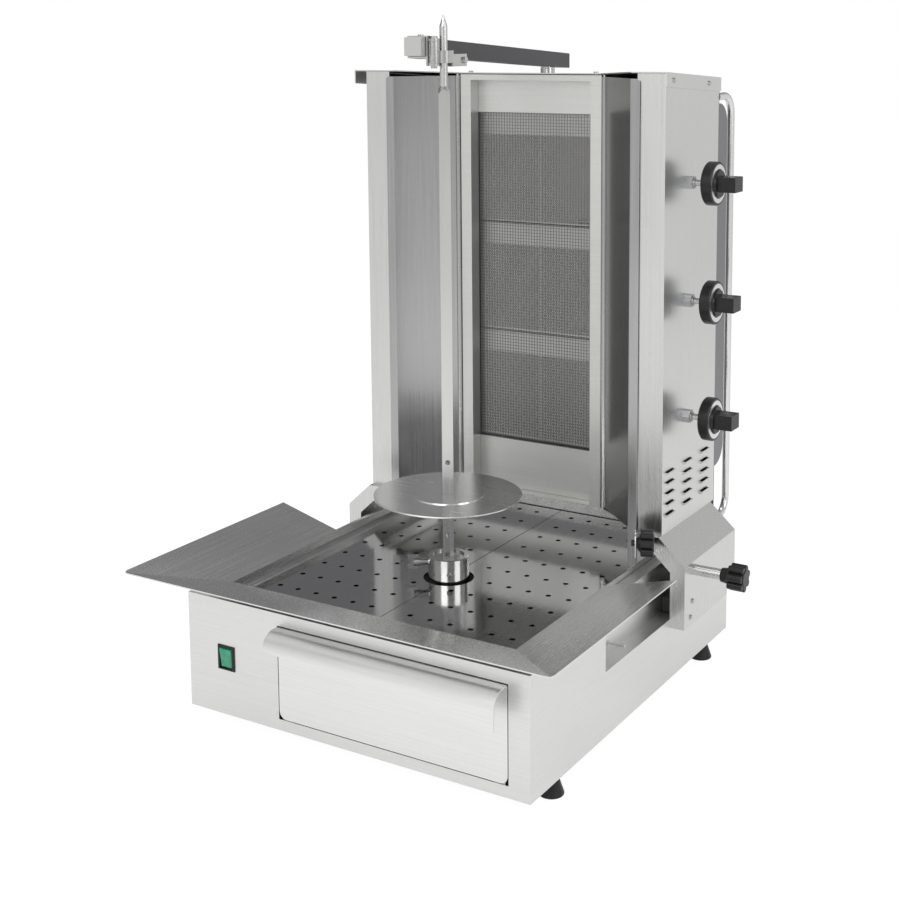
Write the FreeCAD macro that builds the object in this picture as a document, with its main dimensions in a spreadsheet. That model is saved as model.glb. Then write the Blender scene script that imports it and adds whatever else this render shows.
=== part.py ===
"""Table-top gas doner kebab grill: drip base with drawer, turning spit and a sliding burner tower.

Millimetres, +Z up. X runs across the front, Y runs to the back. The origin is on the standing
plane, under the centre of the base. The left side is the mirror of the right side.
"""
import FreeCAD, Part
import Sketcher
import math
import os
import re

from FreeCAD import Placement, Rotation, Vector

doc = FreeCAD.newDocument("doner_grill")

# Driving dimensions. Heights are stacked upwards from the standing plane,
# set-backs are measured from the front face of the base.
SIZES = {
    "sheet": 1.5,
    "arm_sheet": 3.0,
    "seat_gap": 0.3,
    "panel_gap": 1.0,
    "running_gap": 0.05,
    "slide_gap": 0.5,
    # base casing and feet
    "base_width": 480.0,
    "base_depth": 564.0,
    "base_height": 141.0,
    "lip_height": 4.6,
    "foot_height": 25.0,
    "foot_radius": 16.0,
    "foot_inset_x": 15.0,
    "foot_inset_front": 75.0,
    "foot_inset_rear": 56.0,
    "rail_depth": 20.0,
    "rail_setback": 183.0,
    "rail_level": 80.0,
    # drip tray and splash guard
    "tray_width": 402.0,
    "tray_depth": 493.0,
    "tray_inset": 38.5,
    "plate_level": 138.4,
    "rim_wall": 14.6,
    "ledge_overlap": 10.0,
    "flap_run": 94.0,
    "flap_rise": 25.0,
    "flap_length": 221.5,
    "flap_corner": 9.0,
    "plate_margin": 9.0,
    "plate_front_gap": 21.5,
    "plate_rear_gap": 3.0,
    "seam_gap": 1.0,
    "plate_flange": 6.0,
    "drain_radius": 3.5,
    "drain_pitch_x": 27.9,
    "drain_pitch_y": 46.2,
    "drain_first_y": 30.2,
    "drain_columns": 6.0,
    "drain_rows": 10.0,
    "collar_hole_radius": 32.3,
    # grease chute
    "chute_sheet": 1.2,
    "chute_drop": 47.0,
    "chute_mouth_width": 280.0,
    "chute_mouth_depth": 96.0,
    "chute_mouth_x": 56.0,
    "chute_mouth_setback": 48.0,
    "sleeve_radius": 20.0,
    # drawer
    "drawer_left": 139.0,
    "drawer_width": 313.0,
    "drawer_low": 15.0,
    "drawer_height": 114.5,
    "drawer_depth": 166.0,
    "drawer_wall_height": 66.0,
    "drawer_corner": 10.0,
    "handle_reach": 30.0,
    "handle_radius": 20.0,
    "handle_drop_left": 18.0,
    "handle_drop_right": 42.0,
    "runner_width": 12.0,
    "runner_height": 10.0,
    # mains switch
    "switch_x": 58.7,
    "switch_level": 72.9,
    "switch_width": 25.5,
    "switch_height": 31.0,
    "switch_hole_width": 22.0,
    "switch_hole_height": 30.0,
    "switch_rim": 2.0,
    "rocker_tilt": 8.0,
    # drive
    "spit_setback": 221.5,
    "gearbox_size": 88.0,
    "gearbox_height": 54.0,
    "gearbox_level": 28.0,
    "motor_radius": 30.0,
    "motor_length": 96.0,
    "bracket_sheet": 3.0,
    "bearing_radius": 16.0,
    "bearing_height": 12.0,
    "shaft_radius": 12.0,
    "shaft_grip": 16.0,
    "gearbox_bore": 25.0,
    # spit
    "collar_radius": 26.0,
    "collar_height": 46.0,
    "collar_ring_radius": 20.0,
    "collar_ring_step": 2.5,
    "collar_hole_radius_small": 3.5,
    "collar_hole_level": 150.0,
    "collar_top_level": 168.4,
    "spit_bar": 14.0,
    "spit_turn": -56.0,
    "socket_gap": 0.2,
    "bar_top_level": 751.0,
    "rod_radius": 4.8,
    "spit_tip_level": 846.7,
    "tip_length": 14.0,
    "shoulder_height": 9.0,
    "socket_depth": 28.0,
    "disc_radius": 94.0,
    "disc_thickness": 2.0,
    "disc_ring_radius": 46.0,
    "disc_ring_step": 1.0,
    "pin_radius": 3.0,
    "pin_length": 36.0,
    "bar_hole_radius": 3.2,
    "bar_hole_low": 195.0,
    "bar_hole_pitch": 47.5,
    "bar_hole_count": 3.0,
    "wing_screw_radius": 4.0,
    "wing_screw_level": 159.5,
    "wing_screw_reach": 40.0,
    "wing_length": 12.0,
    "wing_span": 18.0,
    # sliding tower
    "tower_half": 224.0,
    "tower_setback": 377.0,
    "tower_depth": 173.0,
    "tower_level": 185.0,
    "tower_height": 589.5,
    "roof_fall": 11.6,
    "roof_flange": 18.5,
    "front_flange": 38.0,
    "roof_overhang": 1.5,
    "roof_overhang_left": 17.0,
    "floor_setback": 4.0,
    "burner_setback": 436.0,
    "burner_half": 91.5,
    "frame_half": 107.5,
    "frame_low": 5.0,
    "frame_top_rail": 7.6,
    "frame_below_roof": 6.6,
    "recess_depth": 20.0,
    "upper_panel_height": 44.8,
    "mesh_height": 459.0,
    "panel_overlap": 15.0,
    "mesh_thickness": 1.2,
    "mesh_wire": 1.4,
    "mesh_columns": 12.0,
    "mesh_rows": 24.0,
    "burner_pitch": 152.5,
    "burner_count": 3.0,
    "burner_height": 149.5,
    "burner_depth": 42.0,
    "burner_sheet": 2.0,
    "burner_top_gap": 1.5,
    "burner_top_band": 29.7,
    "tile_face_height": 117.3,
    "tile_overlap": 3.0,
    "tile_thickness": 13.0,
    "burner_front_gap": 8.0,
    # reflectors
    "hinge_inset": 4.5,
    "knuckle_radius": 3.6,
    "reflector_pin_radius": 2.3,
    "reflector_half": 177.5,
    "reflector_flange": 12.5,
    "reflector_tail": 44.0,
    "reflector_gap": 3.0,
    "reflector_corner": 5.0,
    "tab_forward": 50.0,
    "tab_turn": 24.0,
    "return_gap": 1.0,
    "tab_height": 40.0,
    "reflector_knob_forward": 39.0,
    "reflector_knob_hub": 2.0,
    "reflector_knob_length": 18.0,
    "reflector_knob_level": 184.0,
    "reflector_knob_out": 2.6,
    # louvres of the side panels
    "louvre_columns": 3.0,
    "louvre_rows": 5.0,
    "louvre_first_y": 23.0,
    "louvre_pitch_y": 57.5,
    "louvre_first_z": 24.5,
    "louvre_pitch_z": 13.9,
    "louvre_length": 25.0,
    "louvre_radius": 3.6,
    # carrier arms
    "arm_half": 260.0,
    "arm_fold_level": 152.0,
    "arm_low_level": 69.0,
    "arm_forward": 6.0,
    "arm_length": 169.0,
    "arm_step": 26.0,
    "arm_step_level": 100.0,
    "arm_return": 20.0,
    "arm_seat": 28.0,
    "shoe_screw_setback": 389.0,
    "shoe_screw_level": 80.0,
    "shoe_screw_pitch": 19.5,
    "shoe_screw_step": 6.0,
    "shoe_setback": 387.0,
    "shoe_length": 128.0,
    "shoe_height": 20.0,
    "stop_pin_level": 95.0,
    "stop_pin_length": 22.0,
    "stop_pin_radius": 1.6,
    "stop_pin_setback": 230.0,
    # gas side
    "knob_setback": 446.0,
    "knob_low_level": 327.5,
    "knob_pitch": 152.5,
    "knob_standoff": 29.0,
    "knob_radius": 28.0,
    "knob_skirt": 14.0,
    "knob_boss_radius": 17.0,
    "knob_boss": 3.0,
    "knob_grip": 27.0,
    "knob_grip_width": 19.0,
    "knob_grip_depth": 26.0,
    "stem_radius": 4.0,
    "stem_hole_radius": 6.0,
    "neck_length": 12.0,
    "manifold_radius": 9.0,
    "valve_width": 30.0,
    "valve_height": 28.0,
    "valve_front": 17.0,
    "valve_depth": 78.0,
    "stem_depth": 20.0,
    "pipe_radius": 4.0,
    "probe_radius": 2.0,
    "handle_tube_radius": 5.0,
    "handle_tube_x": 221.0,
    "handle_tube_out": 50.0,
    "handle_tube_top": 737.0,
    "handle_tube_low": 153.5,
    "handle_tube_bend": 26.0,
    "hump_depth": 35.0,
    "hump_half": 222.0,
    "hump_low": 46.0,
    "ear_width": 18.0,
    "ear_drop": 38.4,
    "hump_high": 543.0,
    "hump_bend": 28.0,
    "inlet_level": 30.0,
    "inlet_radius": 10.4,
    "inlet_length": 18.0,
    "inlet_x": 196.0,
    # clamp and star knobs
    "star_radius": 17.5,
    "star_length": 22.0,
    "star_lobe_radius": 5.0,
    "star_hub_radius": 9.0,
    "star_hub": 10.0,
    "star_lobes": 7.0,
    "clamp_setback": 400.0,
    "clamp_level": 140.0,
    "clamp_out": 37.3,
    "clamp_radius": 4.5,
    "boss_radius": 7.0,
    "boss_height": 37.0,
    "stud_radius": 4.0,
    # top arm
    "arm_tube_width": 24.0,
    "arm_tube_wall": 2.0,
    "arm_tube_front": 22.4,
    "arm_tube_rear": 20.4,
    "arm_tube_fall": 23.9,
    "arm_tube_side": 13.0,
    "arm_nose": 30.8,
    "arm_tail": 357.0,
    "arm_front_level": 797.4,
    "post_setback": 535.0,
    "post_radius": 6.0,
    "post_depth": 78.0,
    "socket_radius": 10.0,
    "socket_length": 76.0,
    "sleeve_wall": 2.0,
    "sleeve_clear": 0.4,
    "sleeve_front": 20.0,
    "sleeve_rear": -4.0,
    "eye_radius": 6.4,
    "keeper_sheet": 3.0,
    "keeper_level": 785.0,
    "keeper_height": 15.0,
    "keeper_pin_radius": 2.5,
    "barrel_radius": 6.5,
    "barrel_offset_x": 6.4,
    "barrel_offset_y": 11.8,
    "barrel_height": 33.0,
    "lug_height": 3.0,
    "keeper_block_start": 9.0,
    "keeper_block_end": 41.0,
    "keeper_block_out": 8.0,
    "keeper_block_drop": 4.5,
}

# Places worked out from the driving dimensions.
PLACES = {
    "half_width": "base_width / 2",
    "front": "-base_depth / 2",
    "rear": "base_depth / 2",
    "base_bottom": "foot_height",
    "base_top": "foot_height + base_height",
    "lip_top": "foot_height + base_height + lip_height",
    "rail_half": "base_width / 2 - rail_depth",
    "rail_start": "rail_setback - base_depth / 2",
    "rail_top": "foot_height + rail_level",
    "tray_half": "tray_width / 2",
    "tray_front": "tray_inset - base_depth / 2",
    "tray_back": "tray_inset + tray_depth - base_depth / 2",
    "plate_top": "foot_height + plate_level",
    "rim_top": "foot_height + plate_level + rim_wall",
    "spit_y": "spit_setback - base_depth / 2",
    "drawer_x": "drawer_left - base_width / 2",
    "drawer_bottom": "foot_height + drawer_low",
    "drawer_top": "foot_height + drawer_low + drawer_height",
    "collar_top": "foot_height + collar_top_level",
    "collar_bottom": "foot_height + collar_top_level - collar_height",
    "gearbox_bottom": "foot_height + gearbox_level",
    "gearbox_top": "foot_height + gearbox_level + gearbox_height",
    "bracket_top": "foot_height + gearbox_level + gearbox_height + seat_gap + bracket_sheet",
    "tower_front": "tower_setback - base_depth / 2",
    "tower_back": "tower_setback + tower_depth - base_depth / 2",
    "tower_bottom": "foot_height + tower_level",
    "tower_top": "foot_height + tower_level + tower_height",
    "burner_y": "burner_setback - base_depth / 2",
    "frame_bottom": "foot_height + tower_level + frame_low",
    "frame_top": "foot_height + tower_level + tower_height - frame_below_roof",
    "window_top": "foot_height + tower_level + tower_height - frame_below_roof - frame_top_rail",
    "mesh_top": "window_top - upper_panel_height",
    "burner_front": "burner_setback + recess_depth + burner_front_gap - base_depth / 2",
    "mesh_y": "burner_setback + recess_depth - base_depth / 2",
    "hinge_x": "frame_half + hinge_inset",
    "hinge_y": "burner_setback - base_depth / 2",
    "arm_fold": "foot_height + arm_fold_level",
    "arm_low": "foot_height + arm_low_level",
    "arm_y": "tower_setback - arm_forward - base_depth / 2",
    "knob_y": "knob_setback - base_depth / 2",
    "clamp_y": "clamp_setback - base_depth / 2",
    "clamp_z": "foot_height + clamp_level",
    "post_y": "post_setback - base_depth / 2",
}

sizes = doc.addObject("Spreadsheet::Sheet", "Sizes")
places = doc.addObject("Spreadsheet::Sheet", "Places")


def qualified(text):
    """Expression text with each alias given the sheet it lives in."""

    def with_sheet(match):
        word = match.group(0)
        if word in SIZES:
            return "Sizes." + word
        if word in PLACES:
            return "Places." + word
        return word

    return re.sub(r"[a-z][a-z0-9_]*", with_sheet, text)


for row, (alias, number) in enumerate(SIZES.items(), 1):
    sizes.set("A%d" % row, alias)
    sizes.set("B%d" % row, str(number))
    sizes.setAlias("B%d" % row, alias)
doc.recompute()
for row, (alias, formula) in enumerate(PLACES.items(), 1):
    places.set("A%d" % row, alias)
    places.set("B%d" % row, "=" + qualified(formula))
    places.setAlias("B%d" % row, alias)
doc.recompute()


class Values:
    """Reads a size or a place by its name."""

    def __getattr__(self, name):
        return float((sizes if name in SIZES else places).get(name))


v = Values()
X, Y, Z = Vector(1, 0, 0), Vector(0, 1, 0), Vector(0, 0, 1)
nodes = []


# Document objects bound to the sheets

def bind(obj, **texts):
    """Binds properties of a document object; a double underscore stands for a dot."""
    for name, text in texts.items():
        obj.setExpression(name.replace("__", "."), qualified(text))
    return obj


def keep(obj, label):
    """Marks a document object as a sub-part of the grill."""
    obj.Label = label
    nodes.append(obj)
    return obj


def block(name, x, y, z, length, width, height):
    obj = doc.addObject("Part::Box", name)
    return bind(obj, Length=length, Width=width, Height=height,
                Placement__Base__x=x, Placement__Base__y=y, Placement__Base__z=z)


def cylinder(name, x, y, z, radius, height, along=Z):
    obj = doc.addObject("Part::Cylinder", name)
    obj.Placement = Placement(Vector(), Rotation(Z, along))
    return bind(obj, Radius=radius, Height=height,
                Placement__Base__x=x, Placement__Base__y=y, Placement__Base__z=z)


def cut(name, base, tool):
    obj = doc.addObject("Part::Cut", name)
    obj.Base = base
    obj.Tool = tool
    return obj


def fuse(name, *parts):
    obj = doc.addObject("Part::MultiFuse", name)
    obj.Shapes = list(parts)
    return obj


def feature(label, shape, place=None):
    """A sub-part whose shape is made by functions from the same sizes."""
    obj = doc.addObject("Part::Feature", label)
    obj.Shape = shape
    if place:
        obj.Placement = place
    return keep(obj, label)


# Part design bodies

def plane_of(body, role):
    return next(f for f in body.Origin.OriginFeatures if f.Role == role)


def new_body(label):
    return keep(doc.addObject("PartDesign::Body", label), label)


def sketch_on(body, role, name):
    sketch = body.newObject("Sketcher::SketchObject", name)
    sketch.AttachmentSupport = [(plane_of(body, role), "")]
    sketch.MapMode = "FlatFace"
    return sketch


def outline(sketch, points):
    """Closed outline of straight edges; each corner is bound by two expressions."""
    count = len(points)
    first = sketch.GeometryCount
    start = [Vector(20 * math.cos(2 * math.pi * k / count), 20 * math.sin(2 * math.pi * k / count), 0)
             for k in range(count)]
    for k in range(count):
        sketch.addGeometry(Part.LineSegment(start[k], start[(k + 1) % count]), False)
    for k in range(count):
        sketch.addConstraint(Sketcher.Constraint("Coincident", first + k, 2, first + (k + 1) % count, 1))
    for k, (across, along) in enumerate(points):
        for kind, text in (("DistanceX", across), ("DistanceY", along)):
            number = sketch.addConstraint(Sketcher.Constraint(kind, -1, 1, first + k, 1, 1.0))
            sketch.setExpression("Constraints[%d]" % number, qualified(text))


def pad(body, sketch, length, name, reverse=False):
    obj = body.newObject("PartDesign::Pad", name)
    obj.Profile = sketch
    obj.Reversed = reverse
    return bind(obj, Length=length)


def revolved(label, points, part=True):
    """Body turned about its own Z axis from a half profile of (radius, height) pairs."""
    body = new_body(label) if part else doc.addObject("PartDesign::Body", label + "_body")
    role = "XZ_Plane"
    sketch = sketch_on(body, role, label + "_profile")
    outline(sketch, points)
    turn = body.newObject("PartDesign::Revolution", label + "_turned")
    turn.Profile = sketch
    turn.ReferenceAxis = (sketch, ["V_Axis"])
    turn.Angle = 360.0
    return body


# Shape functions

def box(x0, x1, y0, y1, z0, z1):
    return Part.makeBox(x1 - x0, y1 - y0, z1 - z0, Vector(x0, y0, z0))


def bar(start, end, radius):
    """Round bar from one point to another."""
    start, end = Vector(*start), Vector(*end)
    return Part.makeCylinder(radius, (end - start).Length, start, end - start)


def prism(points, push):
    """Flat outline of 3-D points pushed along a vector."""
    corners = [Vector(*p) for p in points]
    return Part.Face(Part.makePolygon(corners + corners[:1])).extrude(push)


def union(shapes):
    return shapes[0].fuse(shapes[1:]).removeSplitter() if len(shapes) > 1 else shapes[0]


def mirrored(shape):
    return shape.mirror(Vector(), X)


def rounded_edges(shape, radius, test):
    """Fillet of the edges for which test gives true."""
    chosen = [e for e in shape.Edges if test(e)]
    return shape.makeFillet(radius, chosen)


def is_along(edge, direction):
    if len(edge.Vertexes) != 2:
        return False
    run = edge.Vertexes[1].Point - edge.Vertexes[0].Point
    return run.Length > 0 and abs(abs(run.normalize().dot(direction)) - 1) < 1e-6


# Base casing

def base_shell():
    solid = block("base_block", "-half_width", "front", "base_bottom",
                  "base_width", "base_depth", "base_height + lip_height")
    hollow = block("base_hollow", "-half_width + sheet", "front + sheet", "base_bottom - sheet",
                   "base_width - 2 * sheet", "base_depth - 2 * sheet", "base_height + sheet")
    rail_skin = [
        block("rail_skin_" + side, x, "rail_start - sheet", "rail_top - sheet",
              "rail_depth", "rear - rail_start + sheet", "base_height")
        for side, x in (("left", "-half_width + sheet - 0.01"), ("right", "rail_half - sheet + 0.01"))
    ]
    rail_groove = [
        block("rail_groove_" + side, x, "rail_start", "rail_top",
              "rail_depth + panel_gap", "rear - rail_start + panel_gap", "base_height")
        for side, x in (("left", "-half_width - panel_gap"), ("right", "rail_half"))
    ]
    tray_opening = block("tray_opening", "-tray_half - sheet - slide_gap", "tray_front - sheet - slide_gap",
                         "base_top - panel_gap", "tray_width + 2 * (sheet + slide_gap)",
                         "tray_depth + 2 * (sheet + slide_gap)", "lip_height + 2 * panel_gap")
    drawer_opening = block("drawer_opening", "drawer_x - panel_gap", "front - panel_gap",
                           "drawer_bottom - panel_gap", "drawer_width + 2 * panel_gap",
                           "sheet + 2 * panel_gap", "drawer_height + 2 * panel_gap")
    switch_opening = block("switch_opening", "switch_x - half_width - switch_hole_width / 2",
                           "front - panel_gap", "base_bottom + switch_level - switch_hole_height / 2",
                           "switch_hole_width", "sheet + 2 * panel_gap", "switch_hole_height")
    gland_hole = cylinder("gland_hole", "-base_width / 4", "rear - 2 * sheet", "base_bottom + base_height / 2",
                          "8", "4 * sheet", along=Y)
    inside = cut("base_inside", hollow, fuse("rail_skins", *rail_skin))
    openings = fuse("base_openings", inside, *rail_groove, tray_opening, drawer_opening,
                    switch_opening, gland_hole)
    keep(cut("base_shell", solid, openings), "base_shell")


def base_floor():
    plate = block("base_floor", "-half_width + sheet + seat_gap", "front + sheet + seat_gap", "base_bottom",
                  "base_width - 2 * (sheet + seat_gap)", "base_depth - 2 * (sheet + seat_gap)", "sheet")
    keep(plate, "base_floor")


def base_feet():
    """Domed rubber feet on threaded studs through the floor."""
    height = v.foot_height - v.seat_gap
    dome = Part.makeCone(v.foot_radius, v.foot_radius * 0.62, height * 0.72, Vector())
    dome = rounded_edges(dome, 2.0, lambda e: e.BoundBox.ZLength < 0.01)
    neck = Part.makeCylinder(v.foot_radius * 0.45, height, Vector())
    foot = dome.fuse(neck).removeSplitter()
    across = v.half_width - v.foot_inset_x
    spots = [Vector(i * across, y, 0) for i in (-1, 1)
             for y in (v.front + v.foot_inset_front, v.rear - v.foot_inset_rear)]
    feature("base_feet", Part.makeCompound([foot.translated(s) for s in spots]))


def splash_guard():
    """Folded rim: a wall round the drain plates, and three flaps that flare outwards."""
    half, y0, y1 = v.tray_half, v.tray_front, v.tray_back
    top, run, rise = v.rim_top, v.flap_run, v.flap_rise
    foot = v.plate_top - v.sheet
    tip = y0 + v.flap_length
    wall = box(-half - v.sheet, half + v.sheet, y0 - v.sheet, y1 + v.sheet, foot, top)
    wall = wall.cut(box(-half, half, y0, y1, foot, top))
    thick = Vector(0, 0, v.sheet)
    base = top - v.sheet
    front = prism([(-half, y0, base), (half, y0, base),
                   (half + run, y0 - run, base + rise), (-half - run, y0 - run, base + rise)], thick)
    wing = prism([(half, y0, base), (half, tip, base),
                  (half + run, tip, base + rise), (half + run, y0 - run, base + rise)], thick)
    flaps = union([front, wing, mirrored(wing), wall])
    plan = box(-half - run, half + run, y0 - run, y1 + 2 * v.sheet, 0, v.tower_top)
    plan = rounded_edges(plan, v.flap_corner, lambda e: is_along(e, Z) and e.BoundBox.YMax < y0)
    feature("splash_guard", flaps.common(plan))


def grease_chute():
    """Sloping pan that leads the grease to the drawer; its rim carries the drain plates."""
    thick = v.chute_sheet
    rim_face = v.plate_top - v.sheet - v.seat_gap
    top = rim_face - v.sheet
    low = top - v.chute_drop
    side = v.tray_half + v.sheet
    half = v.tray_half - v.plate_margin - v.ledge_overlap + thick
    y0 = v.tray_front + v.plate_front_gap + v.ledge_overlap - thick
    y1 = v.tray_back - v.plate_rear_gap - v.ledge_overlap + thick
    mouth_x0 = v.chute_mouth_x - v.chute_mouth_width / 2
    mouth_y0 = v.front + v.chute_mouth_setback

    def rectangle(x0, x1, a, b, z):
        return Part.makePolygon([Vector(x0, a, z), Vector(x1, a, z), Vector(x1, b, z),
                                 Vector(x0, b, z), Vector(x0, a, z)])

    def pan(grow):
        return Part.makeLoft([
            rectangle(-half - grow, half + grow, y0 - grow, y1 + grow, top),
            rectangle(mouth_x0 - grow, mouth_x0 + v.chute_mouth_width + grow,
                      mouth_y0 - grow, mouth_y0 + v.chute_mouth_depth + grow, low)], True, True)

    rim = box(-side, side, v.tray_front - v.sheet, v.tray_back + v.sheet, top, rim_face)
    rim = rim.cut(box(-half + thick, half - thick, y0 + thick, y1 - thick, top - 1, rim_face + 1))
    shell = pan(0).cut(pan(-thick)).fuse(rim)
    centre = Vector(0, v.spit_y, low)
    height = v.collar_bottom - v.panel_gap - low
    sleeve = Part.makeCylinder(v.sleeve_radius, height, centre).common(pan(-thick / 2))
    bore = Part.makeCylinder(v.sleeve_radius - thick, height + 2, centre - Z)
    feature("grease_chute", shell.fuse(sleeve).cut(bore).removeSplitter())


# Drawer

def drawer_front():
    """Flat front with round lower corners; its top edge rolls forward into a full-width grip."""
    x0, x1 = v.drawer_x, v.drawer_x + v.drawer_width
    low, top, face = v.drawer_bottom, v.drawer_top, v.front
    panel = box(x0, x1, face, face + v.sheet, low, top)
    panel = rounded_edges(panel, v.drawer_corner, lambda e: is_along(e, Y) and e.BoundBox.ZMax < low + 1)
    radius, reach = v.handle_radius, v.handle_reach
    thick = v.sheet

    def lip_face(offset):
        roll = radius - offset
        centre_y, centre_z = face - reach + radius, top - radius
        middle = Vector(x0, centre_y - roll * math.sqrt(0.5), centre_z + roll * math.sqrt(0.5))
        return [Part.LineSegment(Vector(x0, face + thick, top - offset), Vector(x0, centre_y, top - offset)),
                Part.Arc(Vector(x0, centre_y, top - offset), middle, Vector(x0, centre_y - roll, centre_z)),
                Part.LineSegment(Vector(x0, centre_y - roll, centre_z),
                                 Vector(x0, centre_y - roll, top - v.handle_drop_right - 2))]

    outer, inner = lip_face(0), lip_face(thick)
    edges = [c.toShape() for c in outer + inner]
    edges.append(Part.LineSegment(outer[0].StartPoint, inner[0].StartPoint).toShape())
    edges.append(Part.LineSegment(outer[2].EndPoint, inner[2].EndPoint).toShape())
    lip = Part.Face(Part.Wire(Part.__sortEdges__(edges))).extrude(X * v.drawer_width)
    high, deep = top - v.handle_drop_left, top - v.handle_drop_right
    sag = high - 0.68 * (high - deep)
    front = face - reach - 1
    curve = Part.Arc(Vector(x0 - 1, front, high), Vector(v.drawer_x + v.drawer_width * 0.5, front, sag),
                     Vector(x1 + 1, front, deep))
    under = deep - reach
    trim = Part.Wire([curve.toShape(),
                      Part.LineSegment(Vector(x1 + 1, front, deep), Vector(x1 + 1, front, under)).toShape(),
                      Part.LineSegment(Vector(x1 + 1, front, under), Vector(x0 - 1, front, under)).toShape(),
                      Part.LineSegment(Vector(x0 - 1, front, under), Vector(x0 - 1, front, high)).toShape()])
    lip = lip.cut(Part.Face(trim).extrude(Y * (reach - thick)))
    feature("drawer_front", union([panel, lip]))


def drawer_tray():
    """Open grease box behind the drawer front."""
    side = v.runner_width / 2
    x0, x1 = v.drawer_x + side, v.drawer_x + v.drawer_width - side
    y0, y1 = v.front + v.sheet, v.front + v.drawer_depth
    z0 = v.drawer_bottom + v.sheet
    z1 = z0 + v.drawer_wall_height
    wall = v.sheet
    shell = box(x0, x1, y0, y1, z0, z1)
    shell = rounded_edges(shell, 4.0, lambda e: is_along(e, Z) and e.BoundBox.YMin > y0 + 1)
    shell = shell.cut(box(x0 + wall, x1 - wall, y0 + wall, y1 - wall, z0 + wall, z1))
    feature("drawer_tray", shell)


def drawer_runners():
    """Two rails on the base floor that carry the drawer."""
    z0 = v.base_bottom + v.sheet
    z1 = v.drawer_bottom + v.sheet - v.seat_gap
    side = v.runner_width / 2
    y0, y1 = v.front + v.sheet + v.seat_gap, v.front + v.drawer_depth
    rails = []
    for x, outward in ((v.drawer_x + side, -1), (v.drawer_x + v.drawer_width - side, 1)):
        edge = x + outward * (v.slide_gap + v.sheet)
        x0, x1 = min(edge, x - outward * v.runner_width), max(edge, x - outward * v.runner_width)
        rail = box(x0, x1, y0, y1, z0, z1)
        guide = sorted((x + outward * v.slide_gap, edge))
        rails.append(rail.fuse(box(guide[0], guide[1], y0, y1, z0, z1 + v.runner_height)).removeSplitter())
    feature("drawer_runners", Part.makeCompound(rails))


# Mains switch

def switch_frame():
    """Snap-in housing of the rocker switch."""
    cx, cz = v.switch_x - v.half_width, v.base_bottom + v.switch_level
    face = v.front
    fit = v.seat_gap
    w, high = v.switch_width / 2, v.switch_height / 2
    bezel = box(cx - w, cx + w, face - v.switch_rim, face, cz - high, cz + high)
    bezel = rounded_edges(bezel, v.switch_rim * 0.6, lambda e: e.BoundBox.YMax < face - v.switch_rim + 0.01)
    w, high = v.switch_hole_width / 2 - fit, v.switch_hole_height / 2 - fit
    housing = box(cx - w, cx + w, face, face + 20, cz - high, cz + high)
    cavity = box(cx - w + 1.2, cx + w - 1.2, face - 4, face + 14, cz - high + 1.2, cz + high - 1.2)
    pivot = bar((cx - w, face + 4, cz), (cx + w, face + 4, cz), 1.5 + v.running_gap)
    frame_solid = bezel.fuse(housing).removeSplitter().cut(cavity).cut(pivot)
    terminals = [box(cx - 3, cx + 3, face + 20, face + 28, cz + k - 0.4, cz + k + 0.4) for k in (-8, 0, 8)]
    feature("switch_frame", union([frame_solid] + terminals))


def power_rocker():
    """Tilting key with its two trunnions, resting at one end of its travel."""
    cx, cz = v.switch_x - v.half_width, v.base_bottom + v.switch_level
    w = v.switch_hole_width / 2 - v.seat_gap - 1.2 - 0.3
    high = v.switch_hole_height / 2 - 2.5
    axis = Vector(cx, v.front + 4, cz)
    key = box(cx - w, cx + w, v.front - 1.6, v.front + 9, cz - high, cz + high)
    key = rounded_edges(key, 1.2, lambda e: e.BoundBox.YMax < v.front - 1.5)
    key = key.fuse(bar((cx - w - 1.2, axis.y, cz), (cx + w + 1.2, axis.y, cz), 1.5)).removeSplitter()
    key.rotate(axis, X, v.rocker_tilt)
    feature("power_rocker", key)


def cable_gland():
    """Gland in the back wall for the mains lead."""
    x, z = -v.base_width / 4, v.base_bottom + v.base_height / 2
    outside, inside = v.rear, v.rear - v.sheet
    flange = Part.makePolygon([Vector(x + 12 * math.cos(k * math.pi / 3), outside,
                                      z + 12 * math.sin(k * math.pi / 3)) for k in range(7)])
    flange = Part.Face(flange).extrude(Y * 6)
    dome = Part.makeCone(10, 6.5, 12, Vector(x, outside + 6, z), Y)
    neck = bar((x, inside - 8, z), (x, outside, z), 8 - v.seat_gap)
    nut = bar((x, inside - 8, z), (x, inside - 3, z), 11)
    bore = bar((x, inside - 9, z), (x, outside + 19, z), 4)
    feature("cable_gland", union([flange, dome, neck, nut]).cut(bore))


# Drive

def gear_motor():
    """Right-angle gearbox with its motor lying to the left."""
    half = v.gearbox_size / 2
    z0, z1 = v.gearbox_bottom, v.gearbox_top
    case = box(-half, half, v.spit_y - half, v.spit_y + half, z0, z1)
    case = rounded_edges(case, 5.0, lambda e: is_along(e, Z))
    middle = (z0 + z1) / 2
    motor = bar((-half - v.motor_length, v.spit_y, middle), (-half + 1, v.spit_y, middle),
                min(v.motor_radius, (z1 - z0) / 2 - 1))
    bore = Part.makeCylinder(v.shaft_radius + v.running_gap, v.gearbox_bore,
                             Vector(0, v.spit_y, z1 - v.gearbox_bore))
    feature("gear_motor", union([case, motor]).cut(bore))


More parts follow.
